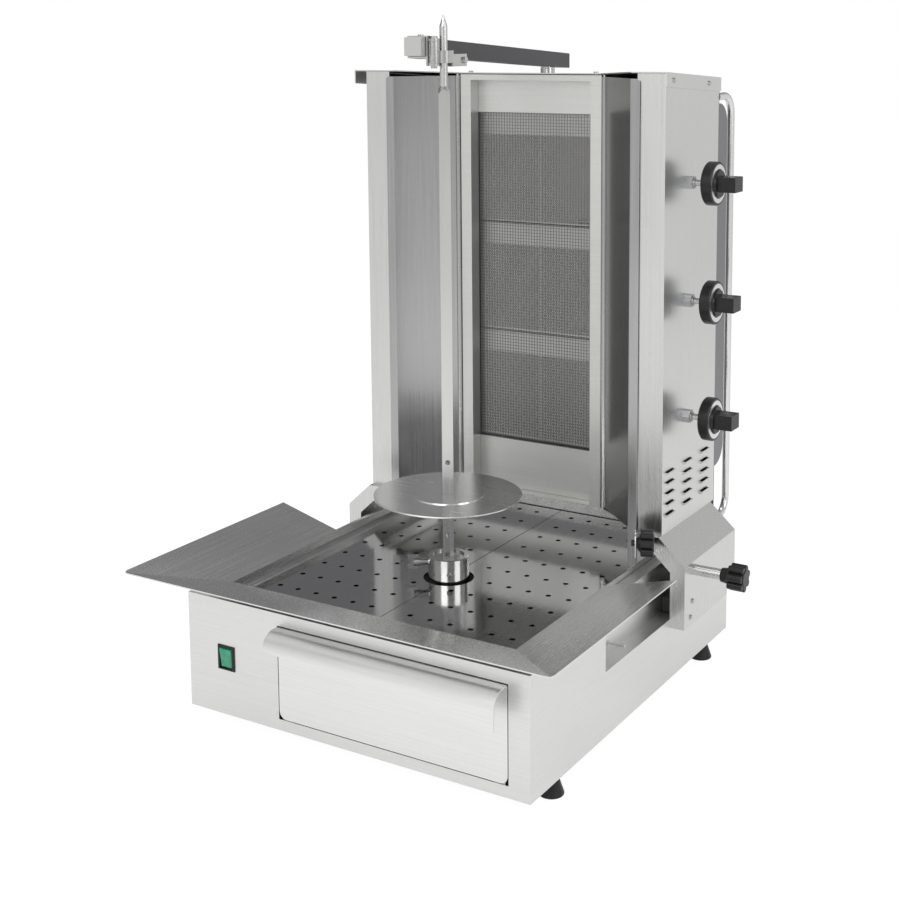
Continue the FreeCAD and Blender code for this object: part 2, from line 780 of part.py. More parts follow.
def motor_bracket():
    """Bridge of folded sheet over the gearbox, standing on the base floor."""
    half = v.gearbox_size / 2
    skin, gap = v.bracket_sheet, v.seat_gap
    floor, top = v.base_bottom + v.sheet, v.bracket_top
    y0, y1 = v.spit_y - half - gap, v.spit_y + half + gap
    deck = box(-half, half, y0 - skin, y1 + skin, top - skin, top)
    legs = [box(-half, half, y, y + skin, floor, top) for y in (y0 - skin, y1)]
    foot = box(-half, half, y1, y1 + 18, floor, floor + skin)
    hole = Part.makeCylinder(v.shaft_radius + 1, skin + 2, Vector(0, v.spit_y, top - skin - 1))
    lug = box(-half, half, v.spit_y - half, v.spit_y + half, floor, v.gearbox_bottom)
    feature("motor_bracket", union([deck, foot, lug] + legs).cut(hole))


def shaft_bearing():
    bottom = (v.shaft_radius + v.running_gap, 0)
    ring_shape = Part.makeCylinder(v.bearing_radius, v.bearing_height, Vector(0, v.spit_y, v.bracket_top))
    bore = Part.makeCylinder(bottom[0], v.bearing_height + 2, Vector(0, v.spit_y, v.bracket_top - 1))
    feature("shaft_bearing", ring_shape.cut(bore))


def drive_shaft():
    low = "gearbox_top - gearbox_bore + seat_gap"
    shaft = cylinder("drive_shaft", "0", "spit_y", low, "shaft_radius",
                     "collar_bottom + shaft_grip - (" + low + ")")
    keep(shaft, "drive_shaft")


# Spit

def turned_box(size, z0, z1):
    """Square prism on the spit axis, turned to the spit's rest angle."""
    solid = box(-size / 2, size / 2, -size / 2, size / 2, z0, z1)
    solid.rotate(Vector(), Z, v.spit_turn)
    return solid.translated(Vector(0, v.spit_y, 0))


def spit_direction(quarter):
    """Unit vector across one face of the bar; quarter counts right angles."""
    angle = math.radians(v.spit_turn + 90 * quarter)
    return Vector(math.cos(angle), math.sin(angle), 0)


def spit_collar():
    """Turned collar that joins the spit bar to the drive shaft."""
    body = revolved("spit_collar", [
        ("0", "0"), ("collar_radius", "0"), ("collar_radius", "collar_height - 1"),
        ("collar_radius - 1", "collar_height"), ("collar_ring_radius", "collar_height"),
        ("collar_ring_radius", "collar_height - collar_ring_step"), ("0", "collar_height - collar_ring_step")],
        part=False)
    bind(body, Placement__Base__y="spit_y", Placement__Base__z="collar_bottom")
    centre = Vector(0, v.spit_y, 0)
    socket = turned_box(v.spit_bar + 2 * v.socket_gap, v.collar_top - v.socket_depth, v.collar_top)
    grip = Part.makeCylinder(v.shaft_radius, v.shaft_grip, centre + Z * v.collar_bottom)
    hole_z = v.base_bottom + v.collar_hole_level
    hole = Part.makeCylinder(v.collar_hole_radius_small, v.collar_radius,
                             centre + Z * hole_z + spit_direction(0) * (v.shaft_radius + 2), spit_direction(0))
    screw_z = v.base_bottom + v.wing_screw_level
    thread = Part.makeCylinder(v.wing_screw_radius + v.running_gap, v.collar_radius,
                               centre + Z * screw_z, spit_direction(-1))
    tool = doc.addObject("Part::Feature", "collar_holes")
    tool.Shape = union([socket, grip, hole, thread])
    keep(cut("spit_collar_bored", body, tool), "spit_collar")


def spit_bar():
    """Square bar that ends in a round rod with a point."""
    bottom = v.collar_top - v.socket_depth + v.seat_gap
    top = v.base_bottom + v.bar_top_level
    tip = v.base_bottom + v.spit_tip_level
    centre = Vector(0, v.spit_y, 0)
    square = turned_box(v.spit_bar, bottom, top)
    corner = v.spit_bar * math.sqrt(0.5)
    shoulder = Part.makeCone(corner, v.rod_radius, v.shoulder_height, centre + Z * top)
    shoulder = shoulder.common(turned_box(v.spit_bar, top, top + v.shoulder_height))
    round_rod = Part.makeCylinder(v.rod_radius, tip - v.tip_length - top, centre + Z * top)
    point = Part.makeCone(v.rod_radius, 0.5, v.tip_length, centre + Z * (tip - v.tip_length))
    solid = union([square, shoulder, round_rod, point])
    for k in range(round(v.bar_hole_count)):
        level = v.base_bottom + v.bar_hole_low + k * v.bar_hole_pitch
        across = spit_direction(0)
        solid = solid.cut(Part.makeCylinder(v.bar_hole_radius, 2 * v.spit_bar,
                                            centre + Z * level - across * v.spit_bar, across))
    feature("spit_bar", solid)


def spit_disc():
    """Loose meat disc that rests on a pin through the bar."""
    bottom = v.base_bottom + v.bar_hole_low + v.bar_hole_pitch + v.pin_radius + v.seat_gap
    centre = Vector(0, v.spit_y, bottom)
    plate = Part.makeCylinder(v.disc_radius, v.disc_thickness, centre)
    plate = rounded_edges(plate, 0.6, lambda e: e.BoundBox.XLength > v.disc_radius)
    step = Part.makeCylinder(v.disc_ring_radius, v.disc_thickness + v.disc_ring_step, centre)
    hole = turned_box(v.spit_bar + 2 * v.socket_gap, bottom - 1, bottom + v.disc_thickness + v.disc_ring_step + 1)
    feature("spit_disc", union([plate, step]).cut(hole))


def disc_pin():
    across = spit_direction(0)
    level = v.base_bottom + v.bar_hole_low + v.bar_hole_pitch
    start = Vector(0, v.spit_y, level) - across * v.pin_length / 2
    feature("disc_pin", Part.makeCylinder(v.pin_radius, v.pin_length, start, across))


def wing_screw():
    """Thumb screw through the collar wall that grips the bar."""
    out = spit_direction(-1)
    centre = Vector(0, v.spit_y, v.base_bottom + v.wing_screw_level)
    start = v.spit_bar / 2 + v.seat_gap
    stem = Part.makeCylinder(v.wing_screw_radius, v.wing_screw_reach - start, centre + out * start, out)
    hub = Part.makeCylinder(v.wing_screw_radius + 1.5, v.wing_length * 0.7,
                            centre + out * (v.wing_screw_reach - 4), out)
    wing = box(v.wing_screw_reach - 2, v.wing_screw_reach + v.wing_length, -1.3, 1.3,
               -v.wing_span / 2, v.wing_span / 2)
    notch = Part.makeCylinder(v.wing_span * 0.22, 10, Vector(v.wing_screw_reach + v.wing_length, 5, 0), -Y)
    wing = wing.cut(notch)
    wing = rounded_edges(wing, 2.5, lambda e: is_along(e, Y) and abs(e.BoundBox.ZMax) > v.wing_span / 2 - 0.1)
    wing.rotate(Vector(), Z, v.spit_turn - 90)
    feature("wing_screw", union([stem, hub, wing.translated(centre)]))


# Drain plates

def drain_plate(side):
    """Perforated half plate; side is +1 on the right and -1 on the left."""
    x0, x1 = v.seam_gap / 2, v.tray_half - v.plate_margin
    y0, y1 = v.tray_front + v.plate_front_gap, v.tray_back - v.plate_rear_gap
    z0, z1 = v.plate_top - v.sheet, v.plate_top
    plate = box(x0, x1, y0, y1, z0, z1)
    flange = box(x0, x0 + v.sheet, y0 + 2 * v.ledge_overlap, y1 - 5 * v.ledge_overlap, z1 - v.plate_flange, z1)
    plate = plate.fuse(flange).removeSplitter()
    holes = []
    for column in range(1, round(v.drain_columns) + 1):
        for row in range(round(v.drain_rows)):
            x, y = column * v.drain_pitch_x, y0 + v.drain_first_y + row * v.drain_pitch_y
            clear_of_collar = math.hypot(x, y - v.spit_y) > v.collar_hole_radius + 2 * v.drain_radius
            if clear_of_collar and x < x1 - v.drain_radius - 1 and y < y1 - v.drain_radius - 1:
                holes.append(Part.makeCylinder(v.drain_radius, 3 * v.sheet, Vector(x, y, z0 - v.sheet)))
    collar = Part.makeCylinder(v.collar_hole_radius, 4 * v.plate_flange,
                               Vector(0, v.spit_y, z0 - 2 * v.plate_flange))
    plate = plate.cut(Part.makeCompound(holes)).cut(collar)
    name = "drain_plate_right" if side > 0 else "drain_plate_left"
    feature(name, plate if side > 0 else mirrored(plate))


# Sliding tower

def roof_level(y):
    """Height of the sloping roof's upper face at a given depth."""
    return v.tower_top - v.roof_fall * (y - v.tower_front) / v.tower_depth


def tower_plan(z, height, inset, sides):
    """Plan of the tower between its side panels, notched in front to follow the reflectors."""
    front, back = v.tower_front + inset, v.tower_back
    notch_y = v.burner_y + inset
    mouth = v.reflector_half + v.reflector_flange * (inset > 0) + (1 if inset > 0 else 0)
    edge = [(-sides, front), (-mouth, front), (-v.frame_half, notch_y), (v.frame_half, notch_y),
            (mouth, front), (sides, front), (sides, back), (-sides, back)]
    return prism([(x, y, z) for x, y in edge], Z * height)


def side_panel(side):
    """Outer casing sheet with its front return and louvres; the right one has the knob holes."""
    name = "side_panel_right" if side > 0 else "side_panel_left"
    half, skin = v.tower_half, v.sheet
    y0, y1 = v.tower_front, v.tower_back
    under = v.sheet + v.seat_gap
    sheet_solid = prism([(half - skin, y0, v.tower_bottom), (half - skin, y1, v.tower_bottom),
                         (half - skin, y1, roof_level(y1) - under),
                         (half - skin, y0, roof_level(y0) - under)], X * skin)
    flange = box(half - v.front_flange, half, y0, y0 + skin, v.tower_bottom, roof_level(y0) - under)
    inner_return = box(half - v.front_flange, half - v.front_flange + skin, y0, y0 + 4 * skin,
                       v.tower_bottom + 4 * skin, roof_level(y0) - 12)
    solid = union([sheet_solid, flange, inner_return])
    if side > 0:
        for k in range(round(v.burner_count)):
            z = v.base_bottom + v.knob_low_level + k * v.knob_pitch
            solid = solid.cut(bar((half - 2 * skin, v.knob_y, z), (half + skin, v.knob_y, z), v.stem_hole_radius))
    for column in range(round(v.louvre_columns)):
        for row in range(round(v.louvre_rows)):
            y = v.tower_front + v.louvre_first_y + column * v.louvre_pitch_y
            z = v.tower_bottom + v.louvre_first_z + row * v.louvre_pitch_z
            solid = louvre(solid, half, y, z)
    feature(name, solid if side > 0 else mirrored(solid))


def louvre(panel, x, y, z):
    """Slot with a pressed scoop below it, open at the top."""
    half, r = v.louvre_length / 2, v.louvre_radius
    slot = box(x - 2 * v.sheet, x + v.sheet, y - half + 1, y + half - 1, z - r + v.sheet / 2, z + r / 2)
    hood = bar((x, y - half, z), (x, y + half, z), r)
    hollow = bar((x, y - half + 1, z), (x, y + half - 1, z), r - 1)
    lower = box(x - v.sheet / 2, x + 2 * r, y - half - 1, y + half + 1, z - 2 * r, z)
    return panel.cut(slot).fuse(hood.common(lower)).cut(hollow.common(lower)).removeSplitter()


def tower_floor():
    inside = v.tower_half - v.sheet - v.seat_gap
    feature("tower_floor", tower_plan(v.tower_bottom, v.sheet, v.floor_setback, inside))


def top_cover():
    """Sloping roof sheet with down-turned sides and back."""
    half = v.tower_half + v.seat_gap + v.sheet
    left = half + v.roof_overhang_left
    front, back = v.tower_front - v.roof_overhang, v.tower_back + v.seat_gap + 2 * v.sheet
    skin = v.sheet

    def slab(low, high):
        return prism([(-left, front, roof_level(front) + low), (-left, back, roof_level(back) + low),
                      (-left, back, roof_level(back) + high), (-left, front, roof_level(front) + high)],
                     X * (left + half))

    mouth = v.reflector_half
    edge = [(-left, front), (-mouth, front), (-v.frame_half, v.burner_y - v.roof_overhang),
            (v.frame_half, v.burner_y - v.roof_overhang), (mouth, front), (half, front),
            (half, back), (-left, back)]
    plan = prism([(x, y, v.tower_bottom) for x, y in edge], Z * (v.tower_height + 40))
    roof = slab(-skin, 0).common(plan)
    skirt = slab(-v.roof_flange, 0).common(plan)
    inner_edge = box(-left + skin, half - skin, front - 1, back - skin, v.tower_bottom, v.tower_top + 40)
    skirt = skirt.cut(inner_edge)
    socket_hole = Part.makeCylinder(v.post_radius + v.running_gap, 60,
                                    Vector(-v.arm_tube_side - v.arm_tube_width / 2, v.post_y, v.tower_top - 40))
    feature("top_cover", union([roof, skirt]).cut(socket_hole))


def rear_cover():
    """Back wall with a raised housing over the gas pipes."""
    half = v.tower_half
    y0 = v.tower_back + v.seat_gap
    under = v.sheet + v.seat_gap
    z1 = roof_level(v.tower_back) - under - v.seat_gap
    wall = box(-half, half, y0, y0 + v.sheet, v.tower_bottom, z1)
    x1 = v.hump_half
    low, high = v.tower_bottom + v.hump_low, v.tower_bottom + v.hump_high
    back = y0 + v.sheet + v.hump_depth
    hump = box(-x1, x1, y0, back, low, high)
    hump = rounded_edges(hump, v.hump_bend, lambda e: is_along(e, X) and e.BoundBox.YMin > back - 1)
    inner = box(-x1 + v.sheet, x1 - v.sheet, y0 - 1, back - v.sheet, low + v.sheet, high - v.sheet)
    inner = rounded_edges(inner, v.hump_bend - v.sheet, lambda e: is_along(e, X) and e.BoundBox.YMin > back - 3)
    inlet = bar((v.inlet_x, y0 - 2, v.tower_bottom + v.inlet_level),
                (v.inlet_x, y0 + 4, v.tower_bottom + v.inlet_level), v.manifold_radius + v.slide_gap)
    ear = box(half - v.ear_width, half, y0, y0 + v.sheet, v.tower_bottom - v.ear_drop, v.tower_bottom)
    feature("rear_cover", union([wall, hump, ear, mirrored(ear)]).cut(inner).cut(inlet))


def burner_frame():
    """Folded frame around the burners: flat front with a recess wall behind its inner edge."""
    half, inner = v.frame_half, v.burner_half
    y0, y1 = v.burner_y, v.burner_y + v.recess_depth
    low, top, window = v.tower_bottom + v.sheet + v.seat_gap, v.frame_top, v.window_top
    skin = v.sheet
    face = box(-half, half, y0, y0 + skin, low, top)
    recess = box(-inner - skin, inner + skin, y0, y1, low, window + skin)
    opening = box(-inner, inner, y0 - 1, y1 + 1, low - 1, window)
    top_fold = box(-half, half, y0, y0 + 12, top - skin, top)
    feature("burner_frame", union([face, recess, top_fold]).cut(opening))


def blank_panels():
    """Plain sheets above and below the wire guard."""
    half = v.burner_half + v.panel_overlap
    y0 = v.mesh_y + v.seat_gap
    upper = box(-half, half, y0, y0 + v.sheet, v.mesh_top + v.seat_gap, v.frame_top - v.sheet - v.seat_gap)
    lower = box(-half, half, y0, y0 + v.sheet, v.tower_bottom + v.sheet + v.seat_gap,
                v.mesh_top - v.mesh_height - v.seat_gap)
    feature("blank_panels", Part.makeCompound([upper, lower]))


def wire_guard():
    """Flat net in front of the tiles, one sheet with square gaps."""
    half, span = v.burner_half + v.panel_overlap, 2 * v.burner_half
    y0 = v.mesh_y + v.seat_gap
    low = v.mesh_top - v.mesh_height
    columns, rows = round(v.mesh_columns), round(v.mesh_rows)
    wide = (span - v.mesh_wire) / columns
    tall = (v.mesh_height - v.mesh_wire) / rows
    gaps = []
    for i in range(columns):
        for j in range(rows):
            x = -span / 2 + v.mesh_wire + i * wide
            z = low + v.mesh_wire + j * tall
            gaps.append(Part.makePolygon([Vector(x, y0, z), Vector(x + wide - v.mesh_wire, y0, z),
                                          Vector(x + wide - v.mesh_wire, y0, z + tall - v.mesh_wire),
                                          Vector(x, y0, z + tall - v.mesh_wire), Vector(x, y0, z)]))
    border = Part.makePolygon([Vector(-half, y0, low), Vector(half, y0, low),
                               Vector(half, y0, low + v.mesh_height),
                               Vector(-half, y0, low + v.mesh_height), Vector(-half, y0, low)])
    net = Part.makeFace([border] + gaps, "Part::FaceMakerBullseye")
    feature("wire_guard", net.extrude(Y * v.mesh_thickness))


def burner_top(index):
    return v.mesh_top - v.burner_top_gap - (v.burner_count - 1 - index) * v.burner_pitch


def burner(index):
    """Gas burner box with two ceramic tiles; index 0 is the lowest."""
    top = burner_top(index)
    low = top - v.burner_height
    half = v.burner_half + 2.5
    y0, y1 = v.burner_front, v.burner_front + v.burner_depth
    skin, gap = v.burner_sheet, v.seat_gap
    face_top = top - v.burner_top_band
    face_low = face_top - v.tile_face_height
    case = box(-half, half, y0, y1, low, top)
    hollow = box(-half + skin, half - skin, y0 + skin, y1 - skin, low + skin, top - skin)
    edge = half - skin - v.tile_overlap
    window = box(-edge, edge, y0 - 1, y0 + skin + 1, face_low, face_top)
    inlet = bar((half - 2 * skin, y1 - 2 * v.inlet_radius, (low + top) / 2),
                (half + skin, y1 - 2 * v.inlet_radius, (low + top) / 2), v.pipe_radius + v.seat_gap)
    case = case.cut(hollow).cut(window).cut(inlet)
    tiles = []
    for x0, x1 in ((-half + skin + gap, -gap / 2), (gap / 2, half - skin - gap)):
        tiles.append(box(x0, x1, y0 + skin, y0 + skin + v.tile_thickness,
                         low + skin + gap, face_top + v.tile_overlap))
    return case, tiles


def burners():
    units = [burner(index) for index in range(round(v.burner_count))]
    feature("burner_boxes", Part.makeCompound([case for case, tiles in units]))
    feature("ceramic_tiles", Part.makeCompound([tile for case, tiles in units for tile in tiles]))


# Reflectors

def knob_axis():
    """Direction in which the reflector knob points, and the place of its stud on the tab."""
    turn = math.radians(v.tab_turn)
    out = Vector(math.cos(turn), math.sin(turn), 0)
    corner = Vector(v.reflector_half + v.reflector_flange, v.tower_front - v.return_gap - v.sheet,
                    v.base_bottom + v.reflector_knob_level)
    forward = Vector(math.sin(turn), -math.cos(turn), 0)
    return out, forward, corner, corner + forward * v.reflector_knob_forward


def knob_tab():
    """Plate that stands forward from the reflector's tail, square to the knob."""
    out, forward, corner, centre = knob_axis()
    low = corner - Z * v.tab_height / 2
    points = [low - forward * v.sheet, low + forward * v.tab_forward,
              low + forward * v.tab_forward - out * v.sheet, low - forward * v.sheet - out * v.sheet]
    plate = prism([(p.x, p.y, p.z) for p in points], Z * v.tab_height)
    tip = low + forward * v.tab_forward
    return rounded_edges(plate, 8.0, lambda e: e.Length < 2 * v.sheet and (e.CenterOfMass - tip).Length
                         < v.tab_height + 1 and (e.CenterOfMass - tip).dot(forward) > -1)


def knob_stud(gap):
    """Stud of the reflector knob, or with a gap its hole."""
    out, forward, corner, centre = knob_axis()
    length = v.reflector_knob_out + 4 * v.sheet
    return Part.makeCylinder(v.stud_radius + gap, length, centre - out * 4 * v.sheet, out)


def reflector(side):
    """Mirror wing on a vertical hinge, with an edge strip; the right one's tail carries a knob tab."""
    hinge = Vector(v.hinge_x, v.hinge_y, 0)
    low = v.tower_bottom + v.sheet + v.reflector_gap
    top = roof_level(v.burner_y) - v.sheet - v.reflector_gap
    skin = v.sheet
    front = v.tower_front - v.return_gap - skin
    end = Vector(v.reflector_half, front, 0)
    run = (end - hinge).normalize()
    inward = Vector(-run.y, run.x, 0) * skin
    start = hinge + run * v.knuckle_radius * 0.7
    a, b = start, end
    wing = prism([(a.x, a.y, low), (b.x, b.y, low), (b.x + inward.x, b.y + inward.y, low),
                  (a.x + inward.x, a.y + inward.y, low)], Z * (top - low))
    x1 = v.reflector_half + v.reflector_flange
    tail = v.tower_bottom - v.reflector_tail if side > 0 else low
    strip = box(v.reflector_half, x1, front, front + skin, tail, top)
    strip = rounded_edges(strip, v.reflector_corner, lambda e: is_along(e, Y) and e.BoundBox.XMin > x1 - 1)
    knuckle = Part.makeCylinder(v.knuckle_radius, top - low, hinge + Z * low)
    bore = Part.makeCylinder(v.reflector_pin_radius + v.running_gap, top - low + 2, hinge + Z * (low - 1))
    solid = union([wing, strip, knuckle]).cut(bore)
    if side > 0:
        solid = solid.fuse(knob_tab()).cut(knob_stud(v.running_gap)).removeSplitter()
    name = "reflector_right" if side > 0 else "reflector_left"
    feature(name, solid if side > 0 else mirrored(solid))


def reflector_pins():
    low = v.tower_bottom + v.sheet + v.seat_gap
    top = roof_level(v.hinge_y) - v.sheet - v.seat_gap - 0.2
    pins = [Part.makeCylinder(v.reflector_pin_radius, top - low, Vector(side * v.hinge_x, v.hinge_y, low))
            for side in (-1, 1)]
    feature("reflector_pins", Part.makeCompound(pins))


def star_knob(hub_length, length):
    """Star grip with its hub below it, standing on the origin along +Z."""
    core = v.star_radius - v.star_lobe_radius
    grip = Part.makeCylinder(core * 0.92, length, Vector(0, 0, hub_length))
    lobes = []
    for k in range(round(v.star_lobes)):
        turn = 2 * math.pi * k / round(v.star_lobes)
        lobe = Part.makeCylinder(v.star_lobe_radius, length - 2,
                                 Vector(core * math.cos(turn), core * math.sin(turn), hub_length + 1))
        lobes.append(rounded_edges(lobe, 1.2, lambda e: e.BoundBox.ZLength < 0.01))
    cap = rounded_edges(grip, 1.5, lambda e: e.BoundBox.ZMin > hub_length + length - 0.1)
    hub = Part.makeCone(v.star_hub_radius, v.star_hub_radius + 1.5, hub_length + 1)
    return union([cap, hub] + lobes)


def outwards(shape, x, y, z, side=1):
    """Turns a shape built along +Z so that it points sideways out of the grill."""
    turned = shape.copy()
    turned.rotate(Vector(), Y, 90)
    turned.translate(Vector(x, y, z))
    return turned if side > 0 else mirrored(turned)


def reflector_knob():
    """Star knob that locks the right reflector, square to its tab."""
    out, forward, corner, centre = knob_axis()
    washer = Part.makeCylinder(v.stud_radius + 3, v.reflector_knob_out - v.seat_gap,
                               Z * (v.seat_gap - v.reflector_knob_out))
    knob = union([star_knob(v.reflector_knob_hub, v.reflector_knob_length), washer])
    knob.rotate(Vector(), Y, 90)
    knob.rotate(Vector(), Z, v.tab_turn)
    knob.translate(centre + out * v.reflector_knob_out)
    feature("reflector_knob_right", knob.fuse(knob_stud(0)).removeSplitter())


# Carrier arms

def carrier_arm(side):
    """Folded arm that hangs the tower on the base rail."""
    outer, skin = v.arm_half, v.arm_sheet
    top, fold, low = v.tower_bottom, v.arm_fold, v.arm_low
    seat = v.tower_half - v.arm_seat
    slope = math.atan2(top - fold, outer - v.tower_half)
    shift = skin * math.tan(slope / 2)
    y0, y1 = v.arm_y, v.arm_y + v.arm_length
    back = skin / math.tan((math.pi - slope) / 2)
    section = [(seat, top), (v.tower_half, top), (outer, fold), (outer, low), (outer - skin, low),
               (outer - skin, fold - skin * math.tan(math.pi / 4 - slope / 2)),
               (v.tower_half - back, top - skin), (seat, top - skin)]
    arm = prism([(x, y0, z) for x, z in section], Y * (y1 - y0))
    arm = arm.cut(box(outer - 2 * skin, outer + 1, y1 - v.arm_step, y1 + 1, low - 1,
                      v.base_bottom + v.arm_step_level))
    wide = v.arm_return
    lip = [(v.tower_half - wide, top), (v.tower_half, top), (outer, fold), (outer, low), (outer - wide, low),
           (outer - wide, fold - wide / 2), (v.tower_half - wide, top - wide / 2)]
    arm = arm.fuse(prism([(x, y0 - skin, z) for x, z in lip], Y * skin))
    clamp = bar((outer - 2 * skin, v.clamp_y, v.clamp_z), (outer + v.boss_height + 1, v.clamp_y, v.clamp_z),
                v.clamp_radius + v.running_gap)
    if side > 0:
        arm = arm.fuse(bar((outer - skin, v.clamp_y, v.clamp_z),
                           (outer + v.boss_height, v.clamp_y, v.clamp_z), v.boss_radius)).cut(clamp)
    name = "carrier_arm_right" if side > 0 else "carrier_arm_left"
    arm = arm.removeSplitter()
    feature(name, arm if side > 0 else mirrored(arm))


def glide_shoes():
    """Sliding blocks that rest on the base rails."""
    x0 = v.rail_half + v.slide_gap
    x1 = v.arm_half - v.arm_sheet
    y0 = v.front + v.shoe_setback
    shoe = box(x0, x1, y0, y0 + v.shoe_length, v.rail_top + v.seat_gap, v.rail_top + v.seat_gap + v.shoe_height)
    shoe = rounded_edges(shoe, 3.0, lambda e: is_along(e, X))
    feature("glide_shoes", Part.makeCompound([shoe, mirrored(shoe)]))


def rail_stops():
    y, z = v.front + v.stop_pin_setback, v.base_bottom + v.stop_pin_level
    pin = bar((v.rail_half, y, z), (v.rail_half + v.stop_pin_length, y, z), v.stop_pin_radius)
    head = bar((v.rail_half, y, z), (v.rail_half + 1.5, y, z), 2 * v.stop_pin_radius)
    stop = union([pin, head])
    feature("rail_stops", Part.makeCompound([stop, mirrored(stop)]))


def clamp_knob():
    """Star knob whose stud passes through the right arm to the rail."""
    reach = v.arm_half + v.clamp_out - v.rail_half - v.slide_gap
    stud = Part.makeCylinder(v.clamp_radius, reach, Z * (-reach))
    knob = union([star_knob(v.star_hub, v.star_length), stud])
    feature("clamp_knob", outwards(knob, v.arm_half + v.clamp_out, v.clamp_y, v.clamp_z))


# Gas side

def knob_level(index):
    return v.base_bottom + v.knob_low_level + index * v.knob_pitch


def gas_knob(index):
    """Control knob: round skirt, boss and a bar grip, on the valve stem."""
    body = revolved("gas_knob_body_%d" % index, [
        ("0", "0"), ("knob_radius - 1.5", "0"), ("knob_radius", "1.5"), ("knob_radius", "knob_skirt - 1"),
        ("knob_radius - 1", "knob_skirt"), ("knob_boss_radius + 1", "knob_skirt"),
        ("knob_boss_radius", "knob_skirt + knob_boss"), ("0", "knob_skirt + knob_boss")], part=False)
    body.Placement = Placement(Vector(), Rotation(Y, 90))
    level = "base_bottom + knob_low_level + %d * knob_pitch" % index
    bind(body, Placement__Base__x="tower_half + knob_standoff", Placement__Base__y="knob_y",
         Placement__Base__z=level)
    grip = block("knob_grip_%d" % index, "tower_half + knob_standoff + knob_skirt / 2",
                 "knob_y - knob_grip_depth / 2", level + " - knob_grip_width / 2",
                 "knob_skirt / 2 + knob_grip", "knob_grip_depth", "knob_grip_width")
    bore = cylinder("knob_bore_%d" % index, "tower_half + knob_standoff - 1", "knob_y", level,
                    "stem_radius + running_gap", "knob_skirt + 1", along=X)
    whole = fuse("knob_whole_%d" % index, body, grip)
    keep(cut("gas_knob_%d" % (index + 1), whole, bore), "gas_knob_%d" % (index + 1))


def valve_stem(index):
    stem = cylinder("valve_stem_%d" % (index + 1), "tower_half - sheet - stem_depth", "knob_y",
                    "base_bottom + knob_low_level + %d * knob_pitch" % index, "stem_radius",
                    "stem_depth + sheet + knob_standoff + knob_skirt - 1")
    stem.Placement = Placement(stem.Placement.Base, Rotation(Z, X))
    keep(stem, "valve_stem_%d" % (index + 1))


def gas_valves():
    """Three gas taps with their threaded necks and nuts."""
    x1 = v.tower_half - v.sheet - v.seat_gap
    valves = []
    for index in range(round(v.burner_count)):
        z = knob_level(index)
        case = box(x1 - v.valve_width, x1, v.knob_y - v.valve_front, v.knob_y - v.valve_front + v.valve_depth,
                   z - v.valve_height / 2, z + v.valve_height / 2)
        case = rounded_edges(case, 3.0, lambda e: is_along(e, Y))
        neck = bar((x1 - 1, v.knob_y, z), (v.tower_half + v.neck_length, v.knob_y, z),
                   v.stem_hole_radius - v.seat_gap)
        nut = Part.Face(Part.makePolygon([
            Vector(v.tower_half, v.knob_y + 9 * math.cos(k * math.pi / 3), z + 9 * math.sin(k * math.pi / 3))
            for k in range(7)])).extrude(X * (v.neck_length - 2))
        bore = bar((x1 - v.stem_depth - 6, v.knob_y, z), (v.tower_half + v.neck_length + 1, v.knob_y, z),
                   v.stem_radius + v.running_gap)
        valves.append(union([case, neck, nut]).cut(bore))
    feature("gas_valves", Part.makeCompound(valves))


def gas_manifold():
    """Vertical supply pipe behind the taps, with its elbow and the threaded inlet at the back."""
    radius = v.manifold_radius
    x = v.inlet_x
    y = v.knob_y - v.valve_front + v.valve_depth + radius + v.seat_gap
    low = v.tower_bottom + v.inlet_level
    upright = Part.makeCylinder(radius, knob_level(v.burner_count - 1) + 24 - low, Vector(x, y, low))
    elbow = Part.makeSphere(radius, Vector(x, y, low))
    run = bar((x, y, low), (x, v.tower_back + v.sheet + 2 * v.seat_gap + 1, low), radius)
    y0 = v.tower_back + v.sheet + 2 * v.seat_gap
    nut = Part.Face(Part.makePolygon([
        Vector(x + 14 * math.cos(k * math.pi / 3), y0, low + 14 * math.sin(k * math.pi / 3))
        for k in range(7)])).extrude(Y * 8)
    thread = bar((x, y0 + 8, low), (x, y0 + 8 + v.inlet_length, low), v.inlet_radius)
    bore = bar((x, y0 + 2, low), (x, y0 + 9 + v.inlet_length, low), v.inlet_radius - 3)
    feature("gas_manifold", union([upright, elbow, run, nut, thread]).cut(bore))


def injector_pipes():
    """Pipes from the taps to the burner boxes."""
    pipes = []
    for index in range(round(v.burner_count)):
        z_box = burner_top(index) - v.burner_height / 2
        z_tap = knob_level(index)
        y = v.burner_front + v.burner_depth - 2 * v.inlet_radius
        x0 = v.tower_half - v.sheet - 2 * v.seat_gap - v.valve_width
        x1 = v.burner_half + 2.5
        middle = (x0 + x1) / 2
        pipes.append(tube([(x0, y, z_tap), (middle, y, z_tap), (middle, y, z_box), (x1 - 1, y, z_box)],
                          v.pipe_radius, abs(z_tap - z_box) / 2 * 0.9))
    feature("injector_pipes", Part.makeCompound(pipes))


def tube(points, radius, bend):
    """Round rod along straight runs joined by tangent arcs."""
    corners = [Vector(*p) for p in points]
    edges = []
    last = corners[0]
    for k in range(1, len(corners) - 1):
        before = (corners[k] - corners[k - 1]).normalize()
        after = (corners[k + 1] - corners[k]).normalize()
        turn = before.getAngle(after)
        reach = bend * math.tan(turn / 2)
        start, end = corners[k] - before * reach, corners[k] + after * reach
        bisector = (after - before).normalize()
        centre = corners[k] + bisector * (bend / math.cos(turn / 2))
        edges.append(Part.makeLine(last, start))
        edges.append(Part.Arc(start, centre - bisector * bend, end).toShape())
        last = end
    edges.append(Part.makeLine(last, corners[-1]))
    path = Part.Wire(edges)
    profile = Part.Wire(Part.makeCircle(radius, corners[0], (corners[1] - corners[0])))
    return path.makePipeShell([profile], True, False)


